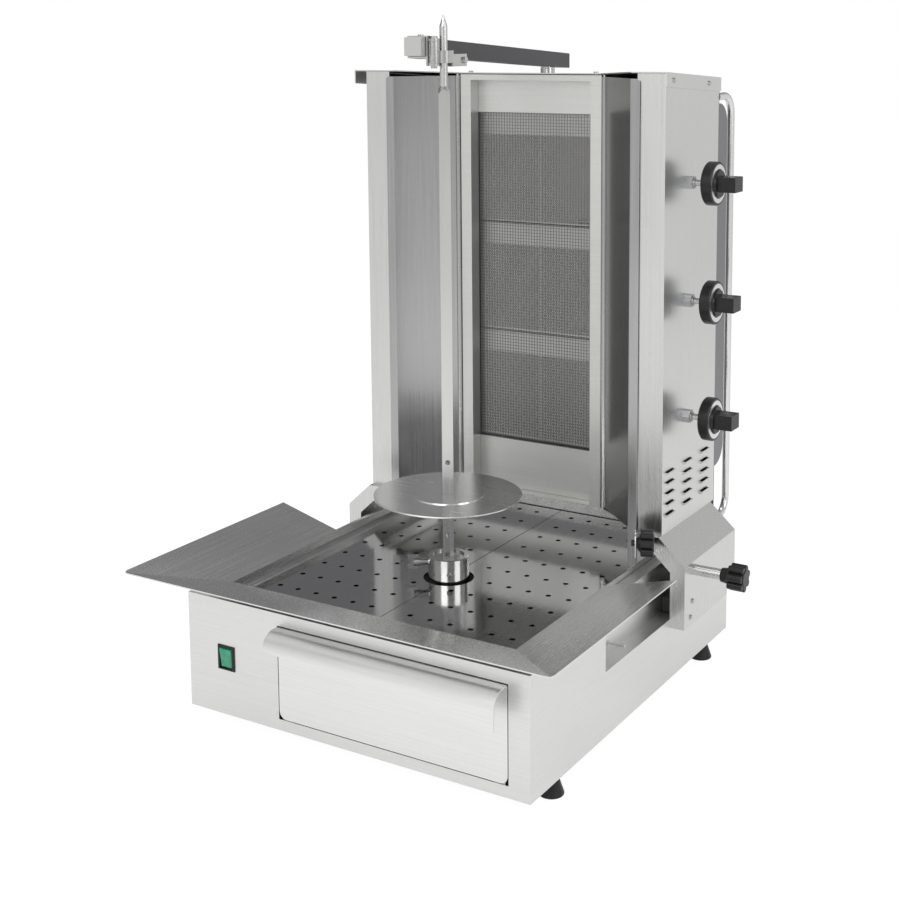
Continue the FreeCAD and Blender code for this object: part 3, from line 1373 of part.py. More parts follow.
def thermocouples():
    """Flame probes that run from the taps to the lower edge of each burner."""
    probes = []
    for index in range(round(v.burner_count)):
        z_tip = burner_top(index) - v.burner_top_band - v.tile_face_height + 4
        z_tap = knob_level(index)
        y = (v.mesh_y + v.burner_front) / 2 + v.sheet / 2
        x0 = v.tower_half - v.sheet - 2 * v.seat_gap - v.valve_width
        x1 = v.burner_half + v.panel_overlap + 10
        probes.append(tube([(x0, y, z_tap), (x1, y, z_tap), (x1, y, z_tip), (v.burner_half - 30, y, z_tip)],
                           v.probe_radius, 8.0))
    feature("thermocouples", Part.makeCompound(probes))


def rear_handles():
    """Bent bars at the back corners for pushing the tower."""
    y0 = v.tower_back + 2 * v.seat_gap + v.sheet
    out = y0 + v.handle_tube_out
    top, low = v.base_bottom + v.handle_tube_top, v.base_bottom + v.handle_tube_low
    x = v.handle_tube_x
    handle = tube([(x, y0, top), (x, out, top), (x, out, low), (x, y0, low)],
                  v.handle_tube_radius, v.handle_tube_bend)
    feature("rear_handles", Part.makeCompound([handle, mirrored(handle)]))


# Top arm

def arm_centre_x():
    return -v.arm_tube_side - v.arm_tube_width / 2


def top_arm():
    """Tapered rectangular tube from the back of the roof to the head of the spit."""
    x1 = -v.arm_tube_side
    x0 = x1 - v.arm_tube_width
    y0, y1 = v.spit_y - v.arm_nose, v.spit_y + v.arm_tail
    low0 = v.base_bottom + v.arm_front_level
    low1 = low0 - v.arm_tube_fall
    wall = v.arm_tube_wall
    outer = prism([(x0, y0, low0), (x0, y1, low1), (x0, y1, low1 + v.arm_tube_rear),
                   (x0, y0, low0 + v.arm_tube_front)], X * (x1 - x0))
    inner = prism([(x0 + wall, y0 + wall, low0 + wall), (x0 + wall, y1 + 1, low1 + wall),
                   (x0 + wall, y1 + 1, low1 + v.arm_tube_rear - wall),
                   (x0 + wall, y0 + wall, low0 + v.arm_tube_front - wall)], X * (x1 - x0 - 2 * wall))
    hole = Part.makeCylinder(v.post_radius + v.running_gap, 4 * v.arm_tube_front,
                             Vector(arm_centre_x(), v.post_y, low1 - v.arm_tube_front))
    feature("top_arm", outer.cut(inner).cut(hole))


def arm_level(y):
    """Height of the arm's underside at a given depth."""
    share = (y - v.spit_y + v.arm_nose) / (v.arm_nose + v.arm_tail)
    return v.base_bottom + v.arm_front_level - v.arm_tube_fall * share


def arm_top(y):
    """Height of the arm's upper side at a given depth."""
    share = (y - v.spit_y + v.arm_nose) / (v.arm_nose + v.arm_tail)
    return arm_level(y) + v.arm_tube_front + share * (v.arm_tube_rear - v.arm_tube_front)


def arm_post():
    """Post that lifts in its socket under the roof, with a shoulder under the arm."""
    x, y = arm_centre_x(), v.post_y
    under = roof_level(y) + v.seat_gap + 0.6
    top = arm_level(y) + v.arm_tube_rear
    post = Part.makeCylinder(v.post_radius, top - under + v.post_depth, Vector(x, y, under - v.post_depth))
    slope = v.arm_tube_fall / (v.arm_nose + v.arm_tail) * (v.post_radius + 4)
    shoulder = Part.makeCylinder(v.post_radius + 4, arm_level(y) - slope - under, Vector(x, y, under))
    feature("arm_post", union([post, shoulder]))


def arm_socket():
    x, y = arm_centre_x(), v.post_y
    slope = v.roof_fall / v.tower_depth * v.socket_radius
    top = roof_level(y) - v.sheet - slope - v.seat_gap
    tube_solid = Part.makeCylinder(v.socket_radius, v.socket_length + 12, Vector(x, y, top - v.socket_length - 12))
    bore = Part.makeCylinder(v.post_radius + v.running_gap, v.socket_length + 1,
                             Vector(x, y, top - v.socket_length))
    feature("arm_socket", tube_solid.cut(bore))


def barrel_spot(z):
    return Vector(-v.barrel_offset_x, v.spit_y - v.barrel_offset_y, z)


def arm_head():
    """Sleeve that slides on the arm, with a pad and two hinge lugs next to the spit rod."""
    low = v.base_bottom + v.keeper_level
    wall, clear = v.sleeve_wall, v.sleeve_clear
    y0, y1 = v.spit_y - v.sleeve_front, v.spit_y - v.sleeve_rear
    x0, x1 = -v.arm_tube_side - v.arm_tube_width - clear, -v.arm_tube_side + clear

    def tunnel(grow, ahead):
        a, b = y0 - ahead, y1 + ahead
        return prism([(x0 - grow, a, arm_level(a) - clear - grow), (x0 - grow, b, arm_level(b) - clear - grow),
                      (x0 - grow, b, arm_top(b) + clear + grow), (x0 - grow, a, arm_top(a) + clear + grow)],
                     X * (x1 - x0 + 2 * grow))

    sleeve = tunnel(wall, 0)
    plate = box(x1, x1 + wall, y0, v.spit_y + v.keeper_block_start - 1, low, low + v.barrel_height)
    pad = box(x1, -v.eye_radius, v.spit_y - v.eye_radius / 3, v.spit_y + v.keeper_block_start - 1,
              low, low + v.barrel_height)
    clearance = Part.makeCylinder(v.barrel_radius + v.seat_gap, v.barrel_height - 2 * v.lug_height,
                                  barrel_spot(low + v.lug_height))
    lugs = []
    for z in (low, low + v.barrel_height - v.lug_height):
        lug = Part.makeCylinder(v.barrel_radius, v.lug_height, barrel_spot(z))
        lugs.append(lug.fuse(box(x1, -v.barrel_offset_x, barrel_spot(0).y - v.barrel_radius,
                                 barrel_spot(0).y + v.barrel_radius, z, z + v.lug_height)))
    pin = Part.makeCylinder(v.keeper_pin_radius + v.running_gap, v.barrel_height + 2, barrel_spot(low - 1))
    bolt = Part.makeCylinder(3.5, 4, Vector(x1 - v.arm_tube_width / 2, y0 + 7, arm_top(y0 + 7) + clear))
    solid = union([sleeve, plate, pad]).cut(clearance)
    feature("arm_head", union([solid, bolt] + lugs).cut(tunnel(0, 5)).cut(pin))


def keeper_pin():
    low = v.base_bottom + v.keeper_level - 3
    pin = Part.makeCylinder(v.keeper_pin_radius, v.barrel_height + 6, barrel_spot(low))
    head = Part.makeCylinder(v.keeper_pin_radius + 1.5, 3, barrel_spot(low + 3 + v.barrel_height))
    nut = Part.makeCylinder(v.keeper_pin_radius + 1.5, 3, barrel_spot(low))
    feature("keeper_pin", union([pin, head, nut]))


def spit_keeper():
    """Hinged strap around the spit rod, with the block that closes it against the arm."""
    low = v.base_bottom + v.keeper_level + v.lug_height + v.seat_gap
    high = low + v.barrel_height - 2 * v.lug_height - 2 * v.seat_gap
    strap_top = low + v.keeper_height
    barrel = Part.makeCylinder(v.barrel_radius, high - low, barrel_spot(low))
    centre = Vector(0, v.spit_y, low)
    outer, inner = v.eye_radius + v.keeper_sheet, v.eye_radius
    ring_solid = Part.makeCylinder(outer, v.keeper_height, centre).cut(
        Part.makeCylinder(inner, v.keeper_height, centre))
    keep_out = box(-3 * outer, 0, v.spit_y - 3 * outer, v.spit_y + 3 * outer, low, strap_top)
    ring_solid = ring_solid.cut(keep_out)
    link = box(-v.barrel_offset_x, 1.5, v.spit_y - outer, v.spit_y - inner, low, strap_top)
    x1 = v.keeper_block_out
    drop = v.keeper_block_drop
    block_solid = box(-v.arm_tube_side + v.seat_gap, x1, v.spit_y + v.keeper_block_start,
                      v.spit_y + v.keeper_block_end, low - drop, strap_top - drop)
    tie = box(inner * 0.6, x1, v.spit_y + inner * 0.5, v.spit_y + v.keeper_block_start + 1, low, strap_top)
    tie = tie.cut(Part.makeCylinder(inner, v.keeper_height, centre))
    screw_y = v.spit_y + v.keeper_block_end - 6
    screw_z = low - drop + v.keeper_height / 2
    screw = bar((x1 - 1, screw_y, screw_z), (x1 + 3, screw_y, screw_z), 4)
    solid = union([barrel, ring_solid, link, block_solid, tie, screw])
    bore = Part.makeCylinder(v.keeper_pin_radius + v.running_gap, v.barrel_height, barrel_spot(low - 1))
    feature("spit_keeper", solid.cut(bore))


def casing_screws():
    """Pan-head screws in the roof, its side flanges and the carrier arms."""
    heads = []
    half = v.tower_half + v.seat_gap + v.sheet
    for share in (0.12, 0.78):
        y = v.tower_front + share * v.tower_depth
        z = roof_level(y) - v.roof_flange / 2
        heads.append(bar((half, y, z), (half + 1.8, y, z), 3.2))
    for x in (-v.frame_half + 12, v.frame_half - 12):
        y = v.burner_y + 8
        heads.append(Part.makeCylinder(3.2, 2.2, Vector(x, y, roof_level(y - 3.2))))
    for k in (0, 1):
        y = v.front + v.shoe_screw_setback + k * v.shoe_screw_step
        z = v.base_bottom + v.shoe_screw_level + k * v.shoe_screw_pitch
        head = bar((v.arm_half, y, z), (v.arm_half + 1.8, y, z), 3.2)
        heads += [head, mirrored(head)]
    feature("casing_screws", Part.makeCompound(heads))


base_shell()
base_floor()
base_feet()
splash_guard()
grease_chute()
drawer_runners()
drawer_front()
drawer_tray()
switch_frame()
power_rocker()
cable_gland()
gear_motor()
motor_bracket()
shaft_bearing()
drive_shaft()
spit_collar()
spit_bar()
spit_disc()
disc_pin()
wing_screw()
rail_stops()
tower_floor()
top_cover()
rear_cover()
burner_frame()
blank_panels()
wire_guard()
burners()
reflector_pins()
glide_shoes()
reflector_knob()
clamp_knob()
gas_valves()
gas_manifold()
injector_pipes()
thermocouples()
rear_handles()
top_arm()
arm_post()
arm_socket()
arm_head()
keeper_pin()
spit_keeper()
casing_screws()
for hand in (-1, 1):
    drain_plate(hand)
    side_panel(hand)
    reflector(hand)
    carrier_arm(hand)
for number in range(round(v.burner_count)):
    gas_knob(number)
    valve_stem(number)

doc.recompute()
failed = [o.Name for o in doc.Objects if "Invalid" in o.State or "Error" in o.State]
for node in nodes:
    if node.Shape.isNull() or not node.Shape.isValid():
        failed.append(node.Label)
if failed:
    raise RuntimeError("failed: " + ", ".join(failed))
os.makedirs("parts", exist_ok=True)
for node in nodes:
    node.Shape.exportStep(os.path.join("parts", node.Label + ".step"))
print(len(nodes), "sub-parts")
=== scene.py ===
"""Gas kebab grill: sheet-metal finishes, burner net, knob dials, a plain studio and the camera.

Metres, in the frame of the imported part.
"""

import math

import bmesh
import bpy
from mathutils import Matrix, Vector


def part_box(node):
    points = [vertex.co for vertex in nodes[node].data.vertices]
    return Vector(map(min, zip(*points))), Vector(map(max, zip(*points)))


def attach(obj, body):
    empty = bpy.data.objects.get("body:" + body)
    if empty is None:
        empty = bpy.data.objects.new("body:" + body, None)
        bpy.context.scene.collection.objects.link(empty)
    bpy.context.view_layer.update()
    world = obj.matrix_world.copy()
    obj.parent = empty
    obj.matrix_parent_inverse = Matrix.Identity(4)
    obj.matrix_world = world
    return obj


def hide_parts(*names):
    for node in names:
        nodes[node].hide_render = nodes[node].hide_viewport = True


NET_PITCH = 0.0042
NET_WIRE = 0.0008
TILE_HOLES_PER_METRE = (310, 0, 420)
HOLE_EDGE = (0.24, 0.34)
JOINT_EDGE = (0.0006, 0.0016)
DIAL_INNER = 0.0190
DIAL_OUTER = 0.0246
DIAL_THICKNESS = 0.0004
DIAL_SETBACK = 0.014
SAME_POINT = 0.000005
RELIEF_DEPTH = 0.0002

FLOOR_HALF = 30
FLOOR_GLOW = 1.15
FLOOR_SEEN_SHARE = 0.80
FLOOR_REFLECTED_SHARE = 0.45
SOFT_AIR = 0.45
DARK_TO_LIGHT_SIDE = (0.84, -0.54, 0)

CAMERA_SPOT = (0.97374, -1.61154, 0.85034)
CAMERA_TURN = 31.98
CAMERA_LOOK_DOWN = 7.52
CAMERA_LEAN = -0.54
CAMERA_LENS = 60.04
CAMERA_SENSOR = 36.0
CAMERA_SHIFT = -0.244

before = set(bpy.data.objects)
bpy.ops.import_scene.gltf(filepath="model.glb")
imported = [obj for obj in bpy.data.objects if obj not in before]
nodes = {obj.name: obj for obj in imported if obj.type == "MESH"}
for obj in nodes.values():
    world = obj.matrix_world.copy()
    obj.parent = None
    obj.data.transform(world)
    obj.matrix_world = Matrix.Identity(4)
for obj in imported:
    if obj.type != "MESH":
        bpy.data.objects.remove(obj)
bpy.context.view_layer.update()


# Finishes

def start_finish(name, colour, metal, roughness):
    """A new material, its node tree and its shader."""
    material = bpy.data.materials.new(name)
    material.use_nodes = True
    tree = material.node_tree
    shader = tree.nodes["Principled BSDF"]
    shader.inputs["Base Color"].default_value = (*colour, 1)
    shader.inputs["Metallic"].default_value = metal
    shader.inputs["Roughness"].default_value = roughness
    material.diffuse_color = (*colour, 1)
    return material, tree, shader


def streaks(tree, stretch, detail=2.0):
    """Noise stretched along the direction in which the sheet was brushed."""
    place = tree.nodes.new("ShaderNodeTexCoord")
    scale = tree.nodes.new("ShaderNodeMapping")
    scale.inputs["Scale"].default_value = stretch
    noise = tree.nodes.new("ShaderNodeTexNoise")
    noise.inputs["Scale"].default_value = 1.0
    noise.inputs["Detail"].default_value = detail
    tree.links.new(place.outputs["Object"], scale.inputs["Vector"])
    tree.links.new(scale.outputs["Vector"], noise.inputs["Vector"])
    return noise.outputs["Fac"]


def spread(tree, value, low, high, start=0.3, stop=0.7):
    """The value of a pattern, spread between low and high."""
    limits = tree.nodes.new("ShaderNodeMapRange")
    ends = (("From Min", start), ("From Max", stop), ("To Min", low), ("To Max", high))
    for socket, number in ends:
        limits.inputs[socket].default_value = number
    tree.links.new(value, limits.inputs["Value"])
    return limits.outputs["Result"]


def tint(tree, value, dark, light):
    """A colour between dark and light, chosen by a pattern."""
    mix = tree.nodes.new("ShaderNodeMix")
    mix.data_type = "RGBA"
    mix.inputs["A"].default_value = (*dark, 1)
    mix.inputs["B"].default_value = (*light, 1)
    tree.links.new(value, mix.inputs["Factor"])
    return mix.outputs["Result"]


def combined(tree, operation, first, second=None):
    """Result of a maths node; each side is a socket or a number."""
    maths = tree.nodes.new("ShaderNodeMath")
    maths.operation = operation
    for index, side in enumerate((first, second)):
        if isinstance(side, (int, float)):
            maths.inputs[index].default_value = side
        elif side is not None:
            tree.links.new(side, maths.inputs[index])
    return maths.outputs["Value"]


def relief(tree, shader, value, strength, depth=RELIEF_DEPTH):
    """Gives the shader a bump from a pattern."""
    bump = tree.nodes.new("ShaderNodeBump")
    bump.inputs["Strength"].default_value = strength
    bump.inputs["Distance"].default_value = depth
    tree.links.new(value, bump.inputs["Height"])
    tree.links.new(bump.outputs["Normal"], shader.inputs["Normal"])


def brushed_sheet(name, colour, roughness, stretch, grain=0.05, bump=0.05):
    """Brushed sheet: fine streaks in colour, gloss and relief, with faint cloudy marks."""
    material, tree, shader = start_finish(name, colour, 1.0, roughness)
    fine = streaks(tree, stretch, 3.0)
    cloud = streaks(tree, (5, 5, 5), 2.0)
    blend = tree.nodes.new("ShaderNodeMix")
    blend.inputs["Factor"].default_value = 0.35
    tree.links.new(fine, blend.inputs["A"])
    tree.links.new(cloud, blend.inputs["B"])
    dark = [c * (1 - grain) for c in colour]
    light = [min(1, c * (1 + grain)) for c in colour]
    tree.links.new(tint(tree, spread(tree, blend.outputs["Result"], 0, 1), dark, light),
                   shader.inputs["Base Color"])
    tree.links.new(spread(tree, blend.outputs["Result"], roughness - 0.05, roughness + 0.07),
                   shader.inputs["Roughness"])
    relief(tree, shader, fine, bump)
    return material


LEVEL = (9, 9, 900)
UPRIGHT = (700, 700, 7)
ALONG_Y = (800, 7, 800)

casing = brushed_sheet("casing_brushed", (0.74, 0.74, 0.73), 0.34, LEVEL)
front = brushed_sheet("drawer_brushed", (0.80, 0.80, 0.79), 0.32, LEVEL)
tower = brushed_sheet("tower_brushed", (0.68, 0.68, 0.67), 0.30, UPRIGHT)
carrier = brushed_sheet("carrier_brushed", (0.66, 0.66, 0.65), 0.28, UPRIGHT)
tray = brushed_sheet("tray_polished", (0.50, 0.50, 0.50), 0.10, ALONG_Y, 0.03, 0.01)
rim = brushed_sheet("rim_polished", (0.76, 0.76, 0.75), 0.24, ALONG_Y, 0.03, 0.02)
mirror = brushed_sheet("reflector_polished", (0.43, 0.43, 0.43), 0.20, UPRIGHT, 0.12, 0.02)
disc = brushed_sheet("disc_polished", (0.84, 0.84, 0.83), 0.24, (7, 700, 700), 0.03, 0.02)
spit = brushed_sheet("spit_ground", (0.64, 0.64, 0.63), 0.20, UPRIGHT, 0.05, 0.04)
turned = brushed_sheet("turned_steel", (0.56, 0.56, 0.55), 0.18, (60, 60, 1400), 0.06, 0.05)
tube = brushed_sheet("arm_tube_dark", (0.11, 0.11, 0.115), 0.36, ALONG_Y, 0.08, 0.05)
# painted shade: the rear cover's dark grey stands in for the shade on its side
hump_painted_shade = brushed_sheet("rear_sheet_painted_shade", (0.24, 0.24, 0.25), 0.36, UPRIGHT, 0.06, 0.05)
grip = brushed_sheet("rear_tube", (0.76, 0.76, 0.75), 0.24, UPRIGHT, 0.05, 0.04)
burner_sheet = brushed_sheet("burner_sheet", (0.66, 0.66, 0.64), 0.38, LEVEL, 0.05, 0.05)
zinc = brushed_sheet("zinc_sheet", (0.56, 0.57, 0.58), 0.45, (30, 30, 30), 0.12, 0.04)
brass = brushed_sheet("brass_turned", (0.72, 0.56, 0.28), 0.30, (60, 1200, 60), 0.06, 0.04)
cast = brushed_sheet("cast_alloy", (0.60, 0.60, 0.61), 0.50, (300, 300, 300), 0.10, 0.25)


def paler_front_end(material, colour, depth):
    """Leaves the front end of a sheet paler, up to a given depth."""
    tree = material.node_tree
    shader = tree.nodes["Principled BSDF"]
    sheet = shader.inputs["Base Color"].links[0].from_socket
    place = tree.nodes.new("ShaderNodeTexCoord")
    axes = tree.nodes.new("ShaderNodeSeparateXYZ")
    tree.links.new(place.outputs["Object"], axes.inputs["Vector"])
    mix = tree.nodes.new("ShaderNodeMix")
    mix.data_type = "RGBA"
    mix.inputs["A"].default_value = (*colour, 1)
    tree.links.new(spread(tree, axes.outputs["Y"], 0, 1, depth - 0.001, depth),
                   mix.inputs["Factor"])
    tree.links.new(sheet, mix.inputs["B"])
    tree.links.new(mix.outputs["Result"], shader.inputs["Base Color"])


# the arm tube ahead of the arm head is coloured paler than the rest of it
paler_front_end(tube, (0.62, 0.62, 0.61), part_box("arm_head")[0][1])


def moulded(name, colour, roughness, pebble):
    """Moulded plastic or rubber with a fine pebbled skin."""
    material, tree, shader = start_finish(name, colour, 0.0, roughness)
    skin = streaks(tree, (1400, 1400, 1400), 2.0)
    worn = streaks(tree, (40, 40, 40), 3.0)
    shader.inputs["Specular IOR Level"].default_value = 0.3
    light = [min(1, c * 1.4) for c in colour]
    tree.links.new(tint(tree, spread(tree, worn, 0, 1), colour, light),
                   shader.inputs["Base Color"])
    tree.links.new(spread(tree, worn, roughness - 0.06, roughness + 0.08),
                   shader.inputs["Roughness"])
    relief(tree, shader, skin, pebble)
    return material


knob_black = moulded("knob_black", (0.012, 0.012, 0.013), 0.28, 0.12)
frame_black = moulded("switch_black", (0.015, 0.015, 0.016), 0.36, 0.10)
foot_rubber = moulded("foot_rubber", (0.018, 0.018, 0.019), 0.42, 0.20)
glide_black = moulded("glide_plastic", (0.03, 0.03, 0.03), 0.50, 0.15)
motor_paint = moulded("motor_paint", (0.20, 0.21, 0.22), 0.40, 0.20)


def lens_green():
    """Green rocker lens, a little cloudy inside."""
    material, tree, shader = start_finish("rocker_green", (0.0, 0.36, 0.17), 0.0, 0.14)
    shader.inputs["Transmission Weight"].default_value = 0.15
    shader.inputs["Coat Weight"].default_value = 0.5
    depth = streaks(tree, (160, 160, 160), 2.0)
    tree.links.new(tint(tree, spread(tree, depth, 0, 1), (0.0, 0.27, 0.12), (0.01, 0.44, 0.23)),
                   shader.inputs["Base Color"])
    relief(tree, shader, streaks(tree, (900, 900, 900), 1.0), 0.03)
    return material


def pierced_ceramic():
    """Porous tile with staggered rows of small holes, coloured near black as painted shade inside
    them, and a paler joint between the pairs.
    """
    material, tree, shader = start_finish("tile_ceramic", (0.66, 0.64, 0.60), 0.0, 0.85)
    place = tree.nodes.new("ShaderNodeTexCoord")
    dots = []
    for shift in (0.0, 0.5):
        scale = tree.nodes.new("ShaderNodeMapping")
        scale.inputs["Location"].default_value = (shift, 0, shift)
        scale.inputs["Scale"].default_value = TILE_HOLES_PER_METRE
        cell = tree.nodes.new("ShaderNodeVectorMath")
        cell.operation = "FRACTION"
        middle = tree.nodes.new("ShaderNodeVectorMath")
        middle.operation = "SUBTRACT"
        middle.inputs[1].default_value = (0.5, 0, 0.5)
        length = tree.nodes.new("ShaderNodeVectorMath")
        length.operation = "LENGTH"
        tree.links.new(place.outputs["Object"], scale.inputs["Vector"])
        tree.links.new(scale.outputs["Vector"], cell.inputs[0])
        tree.links.new(cell.outputs["Vector"], middle.inputs[0])
        tree.links.new(middle.outputs["Vector"], length.inputs[0])
        dots.append(spread(tree, length.outputs["Value"], 0, 1, *HOLE_EDGE))
    holes = combined(tree, "MULTIPLY", dots[0], dots[1])
    stain = spread(tree, streaks(tree, (25, 25, 25), 3.0), 0, 1)
    face = tree.nodes.new("ShaderNodeMix")
    face.data_type = "RGBA"
    # painted shade: the near-black hole colour stands in for the shade inside the holes
    face.inputs["A"].default_value = (0.13, 0.125, 0.12, 1)
    tree.links.new(holes, face.inputs["Factor"])
    tree.links.new(tint(tree, stain, (0.80, 0.79, 0.77), (0.92, 0.91, 0.89)), face.inputs["B"])
    axes = tree.nodes.new("ShaderNodeSeparateXYZ")
    tree.links.new(place.outputs["Object"], axes.inputs["Vector"])
    aside = combined(tree, "ABSOLUTE", axes.outputs["X"])
    joint = tree.nodes.new("ShaderNodeMix")
    joint.data_type = "RGBA"
    joint.inputs["A"].default_value = (0.82, 0.81, 0.79, 1)
    tree.links.new(spread(tree, aside, 0, 1, *JOINT_EDGE), joint.inputs["Factor"])
    tree.links.new(face.outputs["Result"], joint.inputs["B"])
    tree.links.new(joint.outputs["Result"], shader.inputs["Base Color"])
    relief(tree, shader, holes, 0.6, 0.0006)
    return material


tile = pierced_ceramic()
lens = lens_green()
wire = brushed_sheet("net_wire", (0.26, 0.26, 0.26), 0.40, (900, 900, 900), 0.10, 0.10)
dial_silver = brushed_sheet("dial_silver", (0.78, 0.78, 0.78), 0.30, (600, 600, 600), 0.05, 0.03)

worn_by = {
    casing: ["base_shell", "rail_stops"],
    front: ["drawer_front", "drawer_tray"],
    tower: ["side_panel_left", "side_panel_right", "top_cover"],
    carrier: ["carrier_arm_left", "carrier_arm_right"],
    tray: ["drain_plate_left", "drain_plate_right"],
    rim: ["splash_guard"],
    mirror: ["reflector_left", "reflector_right"],
    disc: ["spit_disc"],
    spit: ["spit_bar"],
    turned: ["spit_collar", "disc_pin", "wing_screw", "valve_stem_1", "valve_stem_2", "valve_stem_3",
             "casing_screws", "keeper_pin", "spit_keeper", "arm_post", "arm_head", "drive_shaft"],
    tube: ["top_arm"],
    hump_painted_shade: ["rear_cover"],
    grip: ["rear_handles"],
    burner_sheet: ["blank_panels", "burner_frame", "burner_boxes", "tower_floor"],
    zinc: ["base_floor", "drawer_runners", "motor_bracket", "reflector_pins", "arm_socket",
           "grease_chute", "gas_manifold", "gas_valves", "thermocouples"],
    brass: ["shaft_bearing"],
    cast: ["injector_pipes"],
    knob_black: ["gas_knob_1", "gas_knob_2", "gas_knob_3", "reflector_knob_right", "clamp_knob"],
    frame_black: ["switch_frame", "cable_gland"],
    foot_rubber: ["base_feet"],
    glide_black: ["glide_shoes"],
    motor_paint: ["gear_motor"],
    tile: ["ceramic_tiles"],
    lens: ["power_rocker"],
    wire: ["wire_guard"],
}
for material, names in worn_by.items():
    for name in names:
        data = nodes[name].data
        data.materials.clear()
        data.materials.append(material)


# Pieces

def finished_piece(mesh, name, material, body):
    """Turns a bmesh into a piece that rides on a body."""
    bmesh.ops.remove_doubles(mesh, verts=mesh.verts, dist=SAME_POINT)
    bmesh.ops.recalc_face_normals(mesh, faces=mesh.faces)
    data = bpy.data.meshes.new(name)
    mesh.to_mesh(data)
    mesh.free()
    data.materials.append(material)
    piece = bpy.data.objects.new(name, data)
    bpy.context.scene.collection.objects.link(piece)
    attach(piece, body)
    return piece


def add_block(mesh, low, high):
    """Adds a box between two corners."""
    low, high = Vector(low), Vector(high)
    size = high - low
    place = Matrix.Translation((low + high) / 2) @ Matrix.Diagonal((*size, 1))
    bmesh.ops.create_cube(mesh, size=1, matrix=place)


def burner_net():
    """Woven net over the three burners: straight wires, the uprights behind the cross wires."""
    low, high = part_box("wire_guard")
    front = low[1]
    behind = front + NET_WIRE
    half = NET_WIRE / 2
    mesh = bmesh.new()
    across = high[0] - low[0] - 2 * NET_WIRE
    count = round(across / NET_PITCH)
    for index in range(count + 1):
        x = low[0] + NET_WIRE + across * index / count
        add_block(mesh, (x - half, behind, low[2]), (x + half, behind + NET_WIRE, high[2]))
    tall = high[2] - low[2] - NET_WIRE
    count = round(tall / NET_PITCH)
    for index in range(count + 1):
        z = low[2] + half + tall * index / count
        add_block(mesh, (low[0], front, z - half), (high[0], behind, z + half))
    net = finished_piece(mesh, "burner_net", wire, "tower")
    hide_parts("wire_guard")


def knob_dial(index):
    """Silver ring on the face of a gas knob."""
    low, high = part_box("gas_knob_%d" % index)
    centre_y, centre_z = (low[1] + high[1]) / 2, (low[2] + high[2]) / 2
    face = low[0] + DIAL_SETBACK
    mesh = bmesh.new()
    centre = Vector((face, centre_y, centre_z))
    turn = Matrix.Translation(centre) @ Matrix.Rotation(math.radians(90), 4, "Y")
    bmesh.ops.create_circle(mesh, cap_ends=False, segments=72, radius=DIAL_INNER, matrix=turn)
    made = bmesh.ops.extrude_edge_only(mesh, edges=mesh.edges)
    outer = [v for v in made["geom"] if isinstance(v, bmesh.types.BMVert)]
    wider = DIAL_OUTER / DIAL_INNER
    bmesh.ops.scale(mesh, vec=(1, wider, wider), verts=outer, space=Matrix.Translation(-centre))
    made = bmesh.ops.extrude_face_region(mesh, geom=mesh.faces[:])
    top = [v for v in made["geom"] if isinstance(v, bmesh.types.BMVert)]
    bmesh.ops.translate(mesh, vec=(DIAL_THICKNESS, 0, 0), verts=top)
    body = "gas_knob_%d" % index
    finished_piece(mesh, "knob_dial_%d" % index, dial_silver, body)


burner_net()
for number in (1, 2, 3):
    knob_dial(number)


# Studio

def studio_floor():
    """Large white floor that keeps a soft shadow."""
    mesh = bmesh.new()
    bmesh.ops.create_grid(mesh, x_segments=1, y_segments=1, size=FLOOR_HALF)
    data = bpy.data.meshes.new("studio_floor")
    mesh.to_mesh(data)
    mesh.free()
    material, tree, shader = start_finish("floor_white", (0.90, 0.90, 0.90), 0.0, 0.9)
    path = tree.nodes.new("ShaderNodeLightPath")
    glow = tree.nodes.new("ShaderNodeEmission")
    glow.inputs["Strength"].default_value = FLOOR_GLOW
    both = tree.nodes.new("ShaderNodeMixShader")
    seen = combined(tree, "MULTIPLY", path.outputs["Is Camera Ray"], FLOOR_SEEN_SHARE)
    reflected = combined(tree, "MULTIPLY", path.outputs["Is Glossy Ray"], FLOOR_REFLECTED_SHARE)
    tree.links.new(combined(tree, "MAXIMUM", seen, reflected), both.inputs["Fac"])
    tree.links.new(shader.outputs["BSDF"], both.inputs[1])
    tree.links.new(glow.outputs["Emission"], both.inputs[2])
    tree.links.new(both.outputs["Shader"], tree.nodes["Material Output"].inputs["Surface"])
    data.materials.append(material)
    floor = bpy.data.objects.new("studio_floor", data)
    bpy.context.scene.collection.objects.link(floor)


